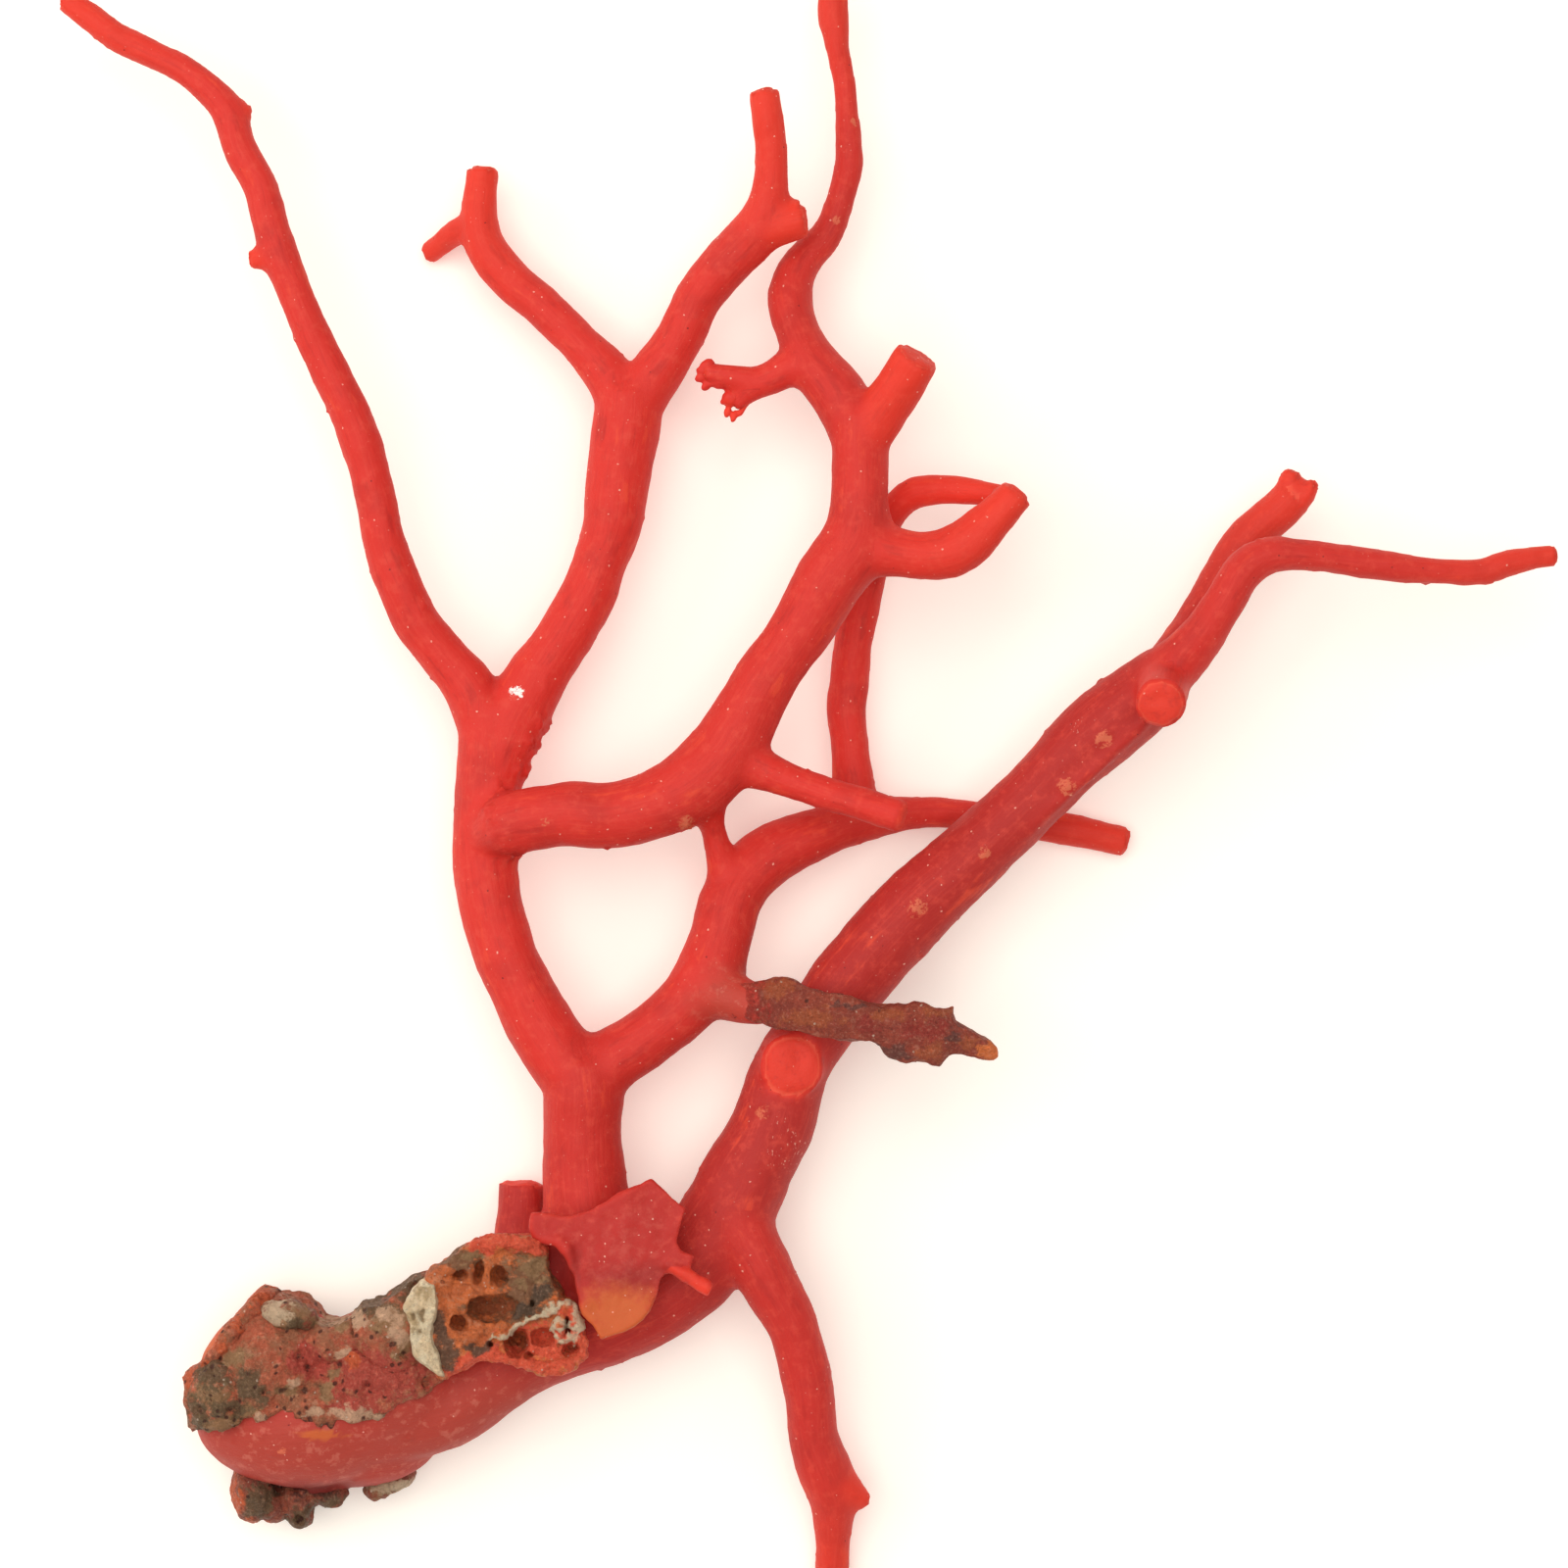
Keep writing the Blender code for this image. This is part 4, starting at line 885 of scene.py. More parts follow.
def crust_finish(name, first, second, roughness=0.62, pore_share=0.5, **other_colours):
    """Rough lime in two mixed browns, with torn patches of other colours where a mark says so."""
    colours = {**CRUST_COLOURS, **other_colours}
    material, tree, shader = blank_finish(name)
    millimetres = in_millimetres(tree)
    patchy = cloud(tree, millimetres, 1.7, 6.0, 0.7)
    blotches = cloud(tree, millimetres, 0.9, 5.0, 0.7)
    sponge = placed_effect(tree, SPONGE, Pore=0.62, Share=pore_share).outputs
    dust = placed_effect(tree, DUST, Cell=0.7, Speck=0.10, Share=0.30).outputs

    colour = blend(tree, between(tree, patchy, 0.40, 0.60), first, second)
    colour = lay_over(tree, colour, between(tree, blotches, 0.54, 0.66), 0.30, colours["pale"])
    colour = lay_over(tree, colour, between(tree, blotches, 0.46, 0.34), 0.34, colours["slate"])
    ragged = reckon(tree, "MULTIPLY", sponge["Torn"], 0.45)
    # Each mark lays its colour; the deep mark lays painted shade in pits, clefts, hollows and low places.
    for mark_name, patch_colour in colours.items():
        depth = add(tree, "ShaderNodeAttribute", attribute_name=mark_name).outputs["Fac"]
        edge = reckon(tree, "ADD", reckon(tree, "MULTIPLY", depth, 0.75), ragged)
        colour = lay_over(tree, colour, between(tree, edge, 0.50, 0.85), 0.9, patch_colour)
    # painted shade in the hollows of the fine grain, and painted highlight on its crests
    colour = lay_over(tree, colour, between(tree, sponge["Fine"], 0.42, 0.0), 0.32, DEEP_SHADE_BROWN)
    colour = lay_over(tree, colour, between(tree, sponge["Fine"], 0.66, 1.0), 0.20, CREST_HIGHLIGHT_PINK)
    colour = lay_over(tree, colour, dust["Specks"], 0.6, CRUST_DUST)
    # painted shade in the pores
    colour = lay_over(tree, colour, sponge["Pores"], 0.85, colours["deep"])
    tree.links.new(colour, shader.inputs["Base Color"])
    tree.links.new(add(
        tree, "ShaderNodeMapRange", Value=sponge["Fine"], To_Min=roughness + 0.15, To_Max=roughness - 0.20,
    ).outputs["Result"], shader.inputs["Roughness"])
    coarse = add(tree, "ShaderNodeBump", Height=sponge["Torn"], Distance=0.00025, Strength=0.8)
    holes = add(
        tree, "ShaderNodeBump", Height=sponge["Pores"], Distance=0.00025, Strength=0.9, invert=True,
        Normal=coarse.outputs[0],
    )
    grain = add(
        tree, "ShaderNodeBump",
        Height=sponge["Fine"], Distance=0.00007, Strength=0.7, Normal=holes.outputs[0],
    )
    tree.links.new(grain.outputs[0], shader.inputs["Normal"])
    shader.inputs["Specular IOR Level"].default_value = 0.35
    return material


SPONGE = sponge_effect()

crust_shape = bmesh.new()
for lump in (*FOOT_LUMPS, *CRUST_LUMPS):
    swell(crust_shape, *lump)
crust = as_piece("foot_crust", crust_shape)
fuse(crust, CRUST_VOXEL, 4)
hold_inside(crust.data, FOOT_OUTLINE)
crust_corners, _ = read(crust.data)
on_crust, _ = inside(crust_corners, drawn_in(CRUST_OUTLINE, CRUST_LEVEL))
on_crust += lumpiness(crust_corners, CRUST_EDGE_LUMPS, 40.0)
covered = np.clip(0.5 + on_crust / 0.5, 0, 1)
crust_places = wandering(crust_corners)
pitted = patches(
    crust_corners[:, :2] / MM + np.array(BOX_MIDDLE),
    [(x, y, 0.7 * reach, 0.6 * reach) for x, y, reach in drawn_in(PITS, CRUST_LEVEL)],
)
relief = lumpiness(crust_corners, CRUST_SWELLING) + crags(crust_corners, CRUST_CRAGS)
crust_heights = np.maximum(CRUST_RISE + relief - PIT_DEPTH * pitted, CRUST_LEAST)
raise_by(crust.data, covered * crust_heights + (1 - covered) * CRUST_UNDER_SKIN)
hold_inside(crust.data, drawn_in(FOOT_OUTLINE, FOOT_EDGE_LEVEL))
side_relief = lumpiness(crust_corners, CRUST_SWELLING, 70.0) + crags(crust_corners, CRUST_CRAGS, 70.0)
raise_by(crust.data, SIDE_RELIEF_SHARE * np.maximum(side_relief, 0))
lay_on_table(crust.data)
seen_from_above = np.clip((crust_corners[:, 2] / MM - 3.0) / 3.0, 0, 1)
for mark_name, rows in (
    ("red", RED_PATCHES),
    ("tan", TAN_PATCHES),
    ("slate", SLATE_PATCHES),
    ("orange", ORANGE_PATCHES),
    ("pale", PALE_PATCHES),
):
    mark(crust.data, mark_name, patches(crust_places, drawn_in(rows, CRUST_LEVEL)) * seen_from_above)
# Painted shade: the deep colour in the pits, in the cleft at the crust's lower edge and in its low places.
shaded_cleft = np.clip(1.4 - np.abs(on_crust - 0.1) / 0.22, 0, 1) * patches(crust_places, SHADED_CLEFT_PLACE)
shaded_low_places = np.clip(-2.2 * relief - 0.8, 0, 1)
mark(crust.data, "deep", np.maximum.reduce([0.85 * pitted, 0.7 * shaded_cleft, 0.4 * shaded_low_places]))
crust.data.materials.append(crust_finish(
    "lime crust", (0.58, 0.130, 0.062), (0.42, 0.145, 0.068), pore_share=0.45,
))


# The bored stump. A thick branch broke off just over the foot, and boring sponges and worms ate its
# core into a honeycomb of orange walls, with a brown crust on one side and a bright red broken rim.

STUMP_OUTLINE = (
    (-30.6, -42.0), (-29.6, -41.4), (-28.0, -40.3), (-26.3, -39.4), (-24.5, -39.0), (-22.8, -39.2),
    (-21.1, -39.2), (-20.6, -40.1), (-20.5, -41.5), (-19.5, -43.8), (-19.2, -44.6), (-18.2, -45.3),
    (-17.8, -46.7), (-17.3, -48.0), (-17.3, -49.4), (-18.6, -50.2), (-20.0, -50.8), (-21.9, -50.2),
    (-23.7, -49.7), (-25.6, -49.3), (-27.3, -50.0), (-28.4, -50.8), (-29.6, -51.4), (-30.9, -49.5),
    (-31.2, -46.2), (-31.2, -43.6),
)
STUMP_LEVELS = ((3.0, 0.80), (6.5, 0.90), (9.5, 0.95), (12.0, 1.0), (13.6, 1.0))
STUMP_VOXEL = 0.17
STUMP_TOP = 13.6
STUMP_WAIST_LEVEL = 12.0
STUMP_RIM_LEVEL = 13.0
STUMP_FACE_LEVEL = 13.5
HOLLOWS = (
    ((-26.1, -45.6, 13.2), (1.55, 1.15, 2.6), -10.0), ((-24.6, -45.5, 13.2), (1.55, 1.25, 2.1), 10.0),
    ((-28.1, -42.5, 13.6), (0.75, 0.55, 2.2), 0.0), ((-26.4, -42.2, 13.6), (0.58, 1.1, 2.6), -8.0),
    ((-24.6, -42.6, 13.6), (0.85, 1.0, 2.2), 20.0), ((-28.1, -46.8, 13.4), (0.75, 0.95, 2.2), 30.0),
    ((-23.2, -48.5, 13.2), (1.05, 1.15, 3.4), 0.0), ((-22.0, -49.5, 13.6), (0.55, 0.35, 1.6), 0.0),
    ((-25.4, -48.6, 13.6), (0.36, 0.28, 1.6), 0.0), ((-26.5, -40.8, 13.6), (0.24, 0.34, 1.4), 0.0),
    ((-29.2, -42.6, 13.6), (0.22, 0.26, 1.2), 0.0), ((-18.8, -46.9, 14.0), (0.50, 0.85, 2.4), 10.0),
    ((-18.4, -49.0, 13.6), (0.75, 0.50, 2.0), 20.0), ((-20.8, -47.9, 13.4), (1.15, 0.75, 1.4), 25.0),
    ((-23.1, -45.0, 13.8), (0.34, 0.42, 1.6), 0.0), ((-21.8, -45.0, 13.8), (0.30, 0.36, 1.4), 0.0),
    ((-22.4, -44.0, 13.8), (0.20, 0.26, 1.2), 0.0), ((-20.6, -43.9, 13.8), (0.20, 0.22, 1.2), 0.0),
)
STUMP_RIM = (
    (
        (-27.0, -40.1, 13.2, 0.55), (-25.0, -39.7, 13.6, 0.75), (-22.6, -39.8, 13.7, 0.85),
        (-21.0, -40.2, 13.6, 0.7),
    ),
    (
        (-29.0, -51.0, 12.0, 0.5), (-27.3, -49.9, 12.9, 0.45), (-25.6, -49.4, 13.3, 0.5),
        (-23.4, -49.9, 13.4, 0.55), (-21.6, -50.4, 13.4, 0.55), (-20.0, -50.7, 13.4, 0.6),
        (-18.6, -50.1, 13.4, 0.6), (-17.5, -49.3, 13.4, 0.55), (-17.5, -48.0, 13.4, 0.5),
    ),
)
STUMP_DIVIDER = (
    (-25.2, -48.3, 13.2, 0.30), (-24.0, -47.6, 13.6, 0.30), (-22.4, -46.8, 13.9, 0.28),
    (-20.8, -46.0, 14.1, 0.28), (-19.2, -45.3, 14.2, 0.26), (-18.3, -45.5, 14.2, 0.26),
    (-17.9, -46.6, 14.2, 0.26), (-18.3, -48.0, 14.1, 0.26), (-19.3, -48.5, 13.9, 0.26),
    (-19.7, -47.6, 14.0, 0.26), (-19.4, -46.3, 14.1, 0.26),
)
DIVIDER_REACH = 0.42
DIVIDER_HEIGHT = 0.35
RIM_RED_REACH = 1.1
STUMP_WALLS = (
    ((-29.3, -43.2, 13.3, 0.45), (-29.0, -45.0, 13.4, 0.5), (-27.9, -45.5, 13.5, 0.4)),
    (
        (-27.3, -41.4, 13.4, 0.4), (-27.2, -43.4, 13.6, 0.45), (-26.3, -43.9, 13.7, 0.4),
        (-24.0, -44.1, 13.6, 0.35),
    ),
    ((-25.6, -41.2, 13.4, 0.35), (-25.5, -43.6, 13.6, 0.4)),
    (
        (-28.6, -48.2, 13.2, 0.4), (-27.0, -47.9, 13.4, 0.45), (-25.6, -47.3, 13.5, 0.4),
        (-24.0, -46.9, 13.6, 0.35),
    ),
)
STUMP_SWELLING = ((2.4, 0.45), (0.6, 0.12))
STUMP_CRAGS = ((1.4, 0.22), (0.7, 0.14))
STUMP_BROWN = (
    (-21.9, -43.6, 2.4, 3.0), (-22.8, -46.0, 2.2, 0.9), (-28.6, -41.2, 2.6, 0.7), (-25.2, -45.6, 2.4, 1.0),
)
STUMP_TAN = (
    (-21.9, -41.9, 1.4, 0.9), (-22.9, -43.2, 0.6, 0.4), (-20.8, -43.2, 0.5, 0.5), (-27.3, -41.0, 1.2, 0.3),
)
STUMP_SLATE = (
    (-29.9, -47.0, 0.8, 1.2), (-26.6, -48.9, 1.5, 0.4), (-29.6, -49.4, 1.2, 1.3), (-22.6, -45.6, 1.4, 0.7),
    (-20.9, -44.4, 0.7, 0.9),
)
STUMP_RED = ((-20.8, -48.6, 3.4, 1.5), (-18.2, -47.6, 1.3, 2.4))


def block(shape, outline, levels):
    """Draws an outline up through levels of (height in mm, size about its middle), closed at both ends."""
    middle = sum((placed(*point) for point in outline), Vector()) / len(outline)
    face = shape.faces.new([shape.verts.new(placed(*point)) for point in outline])
    before = Matrix()
    for level, (height, size) in enumerate(levels):
        if level:
            drawn = bmesh.ops.extrude_face_region(shape, geom=[face])["geom"]
            face = next(piece for piece in drawn if isinstance(piece, bmesh.types.BMFace))
        up = Matrix.Translation(middle + Vector((0, 0, height * MM)))
        now = up @ Matrix.Diagonal((size, size, 1, 1)) @ Matrix.Translation(-middle)
        bmesh.ops.transform(shape, matrix=now @ before.inverted(), verts=list(face.verts))
        before = now


def hollow_out(piece, cutter_shape):
    """Cuts a bmesh's closed shapes out of a piece."""
    bmesh.ops.recalc_face_normals(cutter_shape, faces=cutter_shape.faces)
    mesh = bpy.data.meshes.new("hollows")
    cutter_shape.to_mesh(mesh)
    cutter_shape.free()
    cutter = bpy.data.objects.new("hollows", mesh)
    bpy.context.scene.collection.objects.link(cutter)
    boolean = piece.modifiers.new("hollows", "BOOLEAN")
    boolean.operation = "DIFFERENCE"
    boolean.solver = "EXACT"
    boolean.use_self = True
    boolean.object = cutter
    graph = bpy.context.evaluated_depsgraph_get()
    hollowed = bpy.data.meshes.new_from_object(piece.evaluated_get(graph))
    piece.modifiers.clear()
    piece.data = hollowed
    bpy.data.objects.remove(cutter)


def near_route(places, route, reach):
    """How close each place lies to a route seen from above, from 0 at the reach, in mm, to 1 on the route."""
    away = np.full(len(places), 1000.0)
    for point in smooth_route(route, 0.3):
        away = np.minimum(away, np.linalg.norm(places - point.xy, axis=1))
    return np.clip(1.5 * (1 - away / reach), 0, 1)


stump_shape = bmesh.new()
block(stump_shape, drawn_in(STUMP_OUTLINE, STUMP_WAIST_LEVEL), STUMP_LEVELS)
for ridge in (*STUMP_RIM, *STUMP_WALLS):
    grow(stump_shape, drawn_in(ridge, STUMP_RIM_LEVEL))
swell(stump_shape, (-18.6, -46.0, 12.6), (1.0, 1.45, 1.9), 10.0)
stump = as_piece("bored_stump", stump_shape)
fuse(stump, STUMP_VOXEL, 3)
hollows_shape = bmesh.new()
for (hollow_x, hollow_y, hollow_height), half_lengths, turn_deg in HOLLOWS:
    hollow_middle = drawn_in(((hollow_x, hollow_y),), STUMP_RIM_LEVEL)[0]
    swell(hollows_shape, (*hollow_middle, hollow_height), half_lengths, turn_deg)
hollow_out(stump, hollows_shape)
fuse(stump, STUMP_VOXEL, 2)
stump_corners, _ = read(stump.data)
stump_relief = lumpiness(stump_corners, STUMP_SWELLING, 15.0) + crags(stump_corners, STUMP_CRAGS, 15.0)
stump_places = wandering(stump_corners)
divider = near_route(stump_places, drawn_in(STUMP_DIVIDER, STUMP_FACE_LEVEL), DIVIDER_REACH)
low = np.clip((STUMP_TOP - 0.7 - stump_corners[:, 2] / MM) / 1.8, 0, 1)
raise_by(stump.data, stump_relief + DIVIDER_HEIGHT * divider * (1 - low))
rim_red = np.maximum.reduce([
    near_route(stump_places, drawn_in(rim, STUMP_RIM_LEVEL), RIM_RED_REACH) for rim in STUMP_RIM
])
side_depth, _ = inside(stump_corners, drawn_in(STUMP_OUTLINE, STUMP_WAIST_LEVEL))
for mark_name, rows in (("slate", STUMP_SLATE), ("tan", STUMP_TAN)):
    mark(stump.data, mark_name, patches(stump_places, drawn_in(rows, STUMP_FACE_LEVEL)) * (1 - low))
mark(stump.data, "brown", patches(stump_places, drawn_in(STUMP_BROWN, STUMP_FACE_LEVEL)))
red_patches = patches(stump_places, drawn_in(STUMP_RED, STUMP_FACE_LEVEL))
mark(stump.data, "red", np.maximum(rim_red, red_patches))
mark(stump.data, "cream", 0.9 * divider * (1 - low))
# Painted shade: a darker brown low in the bored hollows and in the clefts of the stump's face.
shaded_stump_hollows = low * (side_depth > 0.7)
shaded_stump_clefts = np.clip(-3.0 * stump_relief - 0.6, 0, 1)
mark(stump.data, "deep", np.maximum(0.80 * shaded_stump_hollows, 0.4 * shaded_stump_clefts))
stump.data.materials.append(crust_finish(
    "bored orange core", (0.80, 0.190, 0.050), (0.64, 0.150, 0.044), 0.5, 0.08,
    brown=(0.230, 0.115, 0.055), red=(0.90, 0.105, 0.050), deep=(0.42, 0.092, 0.027),
    slate=(0.11, 0.068, 0.042),
))


# The shell scrap, the bulb and the knobs. Other animals grew on the foot: a scrap of a cream shell
# between the crust and the stump, a shelly bulb behind, and worm tubes and knobs under the red lip.

SHELL_OUTLINE = (
    (-30.2, -43.0), (-29.9, -44.8), (-30.5, -46.8), (-30.3, -48.6), (-29.9, -49.8), (-29.4, -51.3),
    (-29.9, -51.2), (-30.6, -50.6), (-31.8, -49.6), (-32.3, -48.2), (-32.5, -46.8), (-32.9, -45.2),
    (-32.2, -43.9), (-31.2, -42.9),
)
SHELL_RIM_LEVEL = 13.0
SHELL_FACE_LEVEL = 13.5
SHELL_VOXEL = 0.12
SHELL_SWELLING = ((1.6, 0.36), (0.5, 0.09))
SHELL_HOLE_DEPTH = 0.5
SHELL_LEVELS = ((11.9, 1.02), (13.7, 1.0), (14.2, 0.93))
SHELL_TAN = ((-31.3, -43.9, 0.8, 0.6), (-32.4, -46.6, 0.7, 0.6))
SHELL_HOLES = ((-31.3, -45.9, 0.30), (-32.2, -46.2, 0.22), (-31.9, -47.3, 0.2))
GROWTHS = (
    ((-42.6, -45.6, 10.6), (1.9, 1.25, 2.0), 0.0), ((-44.0, -45.3, 10.4), (1.0, 0.9, 1.7), 0.0),
    ((-41.2, -45.9, 10.4), (1.1, 1.0, 1.7), 0.0), ((-46.3, -61.6, 4.4), (2.0, 2.8, 3.4), 0.0),
    ((-44.6, -63.0, 4.0), (1.5, 1.5, 2.6), 0.0), ((-42.4, -62.2, 4.0), (1.5, 2.2, 2.6), -8.0),
    ((-42.2, -64.0, 4.6), (1.05, 1.05, 1.8), 0.0), ((-39.9, -62.0, 4.2), (1.9, 0.9, 1.8), 5.0),
    ((-39.3, -62.5, 4.4), (0.9, 0.7, 1.5), 0.0), ((-35.6, -61.7, 3.2), (1.3, 0.9, 1.5), 20.0),
    ((-33.6, -60.9, 3.4), (1.5, 0.8, 1.5), 35.0),
)
GROWTH_HOLLOWS = (((-42.2, -64.0, 6.6), (0.5, 0.5, 1.2)), ((-42.0, -60.6, 6.4), (2.2, 0.9, 1.6)))
GROWTH_PATCHES = {
    "tan": ((-43.0, -45.8, 2.6, 1.6), (-34.8, -61.3, 2.0, 0.9)),
    "cream": ((-43.6, -45.3, 1.5, 0.9), (-34.4, -61.2, 2.2, 0.8)),
    "slate": (
        (-45.6, -62.2, 1.4, 1.6), (-42.2, -64.0, 1.2, 1.2), (-39.4, -62.5, 1.2, 0.8),
        (-41.7, -46.4, 0.9, 0.7),
    ),
    "orange": ((-47.8, -62.2, 0.8, 2.4), (-46.2, -64.4, 1.6, 0.6)),
}
GROWTH_VOXEL = 0.18
GROWTH_SWELLING = ((1.6, 0.22), (0.7, 0.16), (0.35, 0.07))
GROWTH_CRAGS = ((1.1, 0.12),)
# Painted shade: the mouth of the worm tube and the recess under the lip.
GROWTH_SHADE = ((-42.2, -64.0, 0.4, 0.4), (-41.0, -61.2, 2.2, 0.7))

shell_shape = bmesh.new()
block(shell_shape, drawn_in(SHELL_OUTLINE, SHELL_RIM_LEVEL), SHELL_LEVELS)
shell = as_piece("shell_scrap", shell_shape)
fuse(shell, SHELL_VOXEL, 2)
shell_corners, _ = read(shell.data)
shell_places = wandering(shell_corners)
shell_holes = patches(shell_places, [(x, y, r, r) for x, y, r in drawn_in(SHELL_HOLES, SHELL_FACE_LEVEL)])
raise_by(shell.data, lumpiness(shell_corners, SHELL_SWELLING, 7.0) - SHELL_HOLE_DEPTH * shell_holes)
mark(shell.data, "slate", shell_holes)
mark(shell.data, "tan", patches(shell_places, drawn_in(SHELL_TAN, SHELL_FACE_LEVEL)))
shell.data.materials.append(crust_finish(
    "cream shell", (0.96, 0.80, 0.54), (0.88, 0.66, 0.40), 0.5, 0.0,
    slate=(0.46, 0.31, 0.17), pale=(0.90, 0.72, 0.54), tan=(0.60, 0.42, 0.22),
))

growths_shape = bmesh.new()
for lump in GROWTHS:
    swell(growths_shape, *lump)
growths = as_piece("foot_growths", growths_shape)
fuse(growths, GROWTH_VOXEL, 2)
growth_hollows = bmesh.new()
for middle, half_lengths in GROWTH_HOLLOWS:
    swell(growth_hollows, middle, half_lengths)
hollow_out(growths, growth_hollows)
fuse(growths, GROWTH_VOXEL, 1)
growth_corners, _ = read(growths.data)
growth_places = wandering(growth_corners)
growth_relief = lumpiness(growth_corners, GROWTH_SWELLING, 25.0)
growth_relief += crags(growth_corners, GROWTH_CRAGS, 25.0)
raise_by(growths.data, growth_relief)
lay_on_table(growths.data)
for mark_name, rows in GROWTH_PATCHES.items():
    mark(growths.data, mark_name, patches(growth_places, rows))
# Painted shade in the clefts of the growths, and in the places above.
shaded_growth_clefts = np.clip(-3.0 * growth_relief - 0.6, 0, 1)
mark(growths.data, "deep", np.maximum(patches(growth_places, GROWTH_SHADE), shaded_growth_clefts))
growths.data.materials.append(crust_finish(
    "growths on the foot", (0.40, 0.090, 0.045), (0.27, 0.062, 0.038), 0.55, 0.15, cream=(0.72, 0.52, 0.34),
))


# The broken web. A thin flake of coral stands on the fork, where branches that have broken off once
# met; it has sharp chipped edges, a dust of white specks, and turns ochre where it is thinnest.

WEB_OUTLINE = (
    (-21.9, -37.1), (-20.3, -37.2), (-18.7, -37.4), (-16.5, -36.7), (-14.5, -35.7), (-13.0, -35.0),
    (-11.5, -34.1), (-10.0, -35.2), (-8.4, -36.7), (-8.8, -38.0), (-9.2, -39.6), (-8.8, -40.5),
    (-7.7, -40.8), (-8.1, -42.0), (-9.7, -42.1), (-10.5, -43.0), (-10.8, -44.5), (-12.2, -46.5),
    (-13.5, -47.4), (-15.9, -48.3), (-16.5, -47.0), (-17.4, -46.0), (-17.9, -44.0), (-18.4, -42.2),
    (-18.8, -41.2), (-18.9, -40.2), (-19.4, -39.7), (-20.4, -39.5), (-21.6, -39.4), (-22.0, -38.6),
)
WEB_LEVELS = ((12.9, 0.95), (13.4, 1.0), (14.0, 1.0), (14.2, 0.97))
WEB_NECK = ((-13.2, -43.2, 7.5, 2.4), (-13.2, -42.6, 10.6, 2.4), (-13.4, -42.0, 13.0, 3.0))
WEB_PEG = (
    (-10.2, -41.5, 13.6, 0.85), (-8.8, -42.5, 13.9, 0.78), (-7.6, -43.2, 14.1, 0.66),
    (-6.4, -43.8, 14.2, 0.55),
)
WEB_NECK_SHADE = ((-12.6, -42.8, 3.4, 1.1), (-18.2, -42.6, 0.5, 2.0))
WEB_OCHRE = ((-14.2, -46.3, 3.6, 2.6),)
WEB_LEVEL = 13.5
WEB_CREST_LEVEL = 14.0
WEB_VOXEL = 0.2
WEB_LIP = (
    (-21.7, -39.0, 13.5, 0.45), (-20.6, -39.3, 13.8, 0.5), (-19.5, -39.6, 14.0, 0.5),
    (-18.7, -40.5, 14.1, 0.5), (-18.2, -42.0, 13.9, 0.4),
)
WEB_SWELLING = ((5.0, 0.55), (1.5, 0.16), (0.6, 0.06))

web_shape = bmesh.new()
block(web_shape, drawn_in(WEB_OUTLINE, WEB_LEVEL), WEB_LEVELS)
grow(web_shape, WEB_NECK)
grow(web_shape, drawn_in(WEB_LIP, WEB_CREST_LEVEL))
grow(web_shape, drawn_in(WEB_PEG, WEB_CREST_LEVEL))
web = as_piece("broken_web_flake", web_shape)
fuse(web, WEB_VOXEL, 2)
web_corners, _ = read(web.data)
web_depth, _ = inside(web_corners, drawn_in(WEB_OUTLINE, WEB_LEVEL))
raise_by(web.data, lumpiness(web_corners, WEB_SWELLING, 3.0))
web_places = wandering(web_corners)
on_peg = near_route(web_places, drawn_in(WEB_PEG, WEB_CREST_LEVEL), 1.1) * (web_depth < 0.3)
mark(web.data, "dark", 0.85 * (1 - on_peg))
# painted shade: a dark band across the neck of the web, in the hollow red
mark(web.data, "hollow_shade", 0.45 * patches(web_places, drawn_in(WEB_NECK_SHADE, WEB_LEVEL)))
mark(web.data, "haze", np.clip(web_depth / 2.5, 0, 1))
mark(web.data, "ochre", patches(web_places, drawn_in(WEB_OCHRE, WEB_LEVEL)))
mark(web.data, "young", np.maximum(0.6 * np.clip(0.45 - web_depth, 0, 0.45), on_peg))
mark(web.data, "fork", np.ones(len(web_corners)))
web.data.materials.append(CORAL_FINISH)
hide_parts("broken_web")


# The crusted twig. One side twig is flattened and overgrown along its whole length by a brown mottled
# crust with a ragged, lobed edge; only its broken tip shows orange.

TWIG_ROUTE = (
    (-6.4, -17.8, 8.8, 2.5), (-2.5, -18.6, 11.0, 2.3), (1.0, -19.0, 13.2, 2.5), (5.0, -19.9, 14.3, 2.4),
    (8.5, -20.8, 14.7, 2.5), (11.5, -21.1, 14.9, 3.0), (13.6, -21.4, 15.0, 2.8), (15.6, -22.0, 15.1, 1.7),
    (16.9, -22.6, 15.2, 1.2), (18.2, -23.0, 15.3, 0.8),
)
TWIG_OUTLINE = (
    (-9.0, -15.6), (-6.0, -17.0), (-2.8, -17.5), (-1.8, -17.1), (-0.3, -16.8), (1.4, -17.3), (3.6, -18.1),
    (5.9, -18.5), (7.8, -19.2), (8.3, -19.5), (9.0, -19.3), (9.8, -19.0), (10.5, -19.2), (11.3, -18.9),
    (12.0, -19.0), (12.8, -19.4), (14.2, -19.4), (14.7, -19.2), (14.6, -20.2), (15.0, -20.8), (16.2, -21.4),
    (17.1, -22.0), (17.8, -22.2), (18.5, -22.8), (18.7, -23.5), (18.1, -23.9), (16.9, -23.9), (16.0, -23.6),
    (14.8, -23.3), (14.1, -23.5), (13.4, -24.2), (12.6, -23.9), (11.9, -23.6), (11.4, -24.0), (10.5, -24.1),
    (9.3, -23.6), (8.6, -23.2), (7.8, -22.5), (6.7, -22.2), (5.5, -22.1), (3.6, -22.1), (2.1, -21.8),
    (0.6, -21.5), (-1.3, -20.9), (-3.8, -20.4), (-6.0, -20.2), (-9.0, -20.2),
)
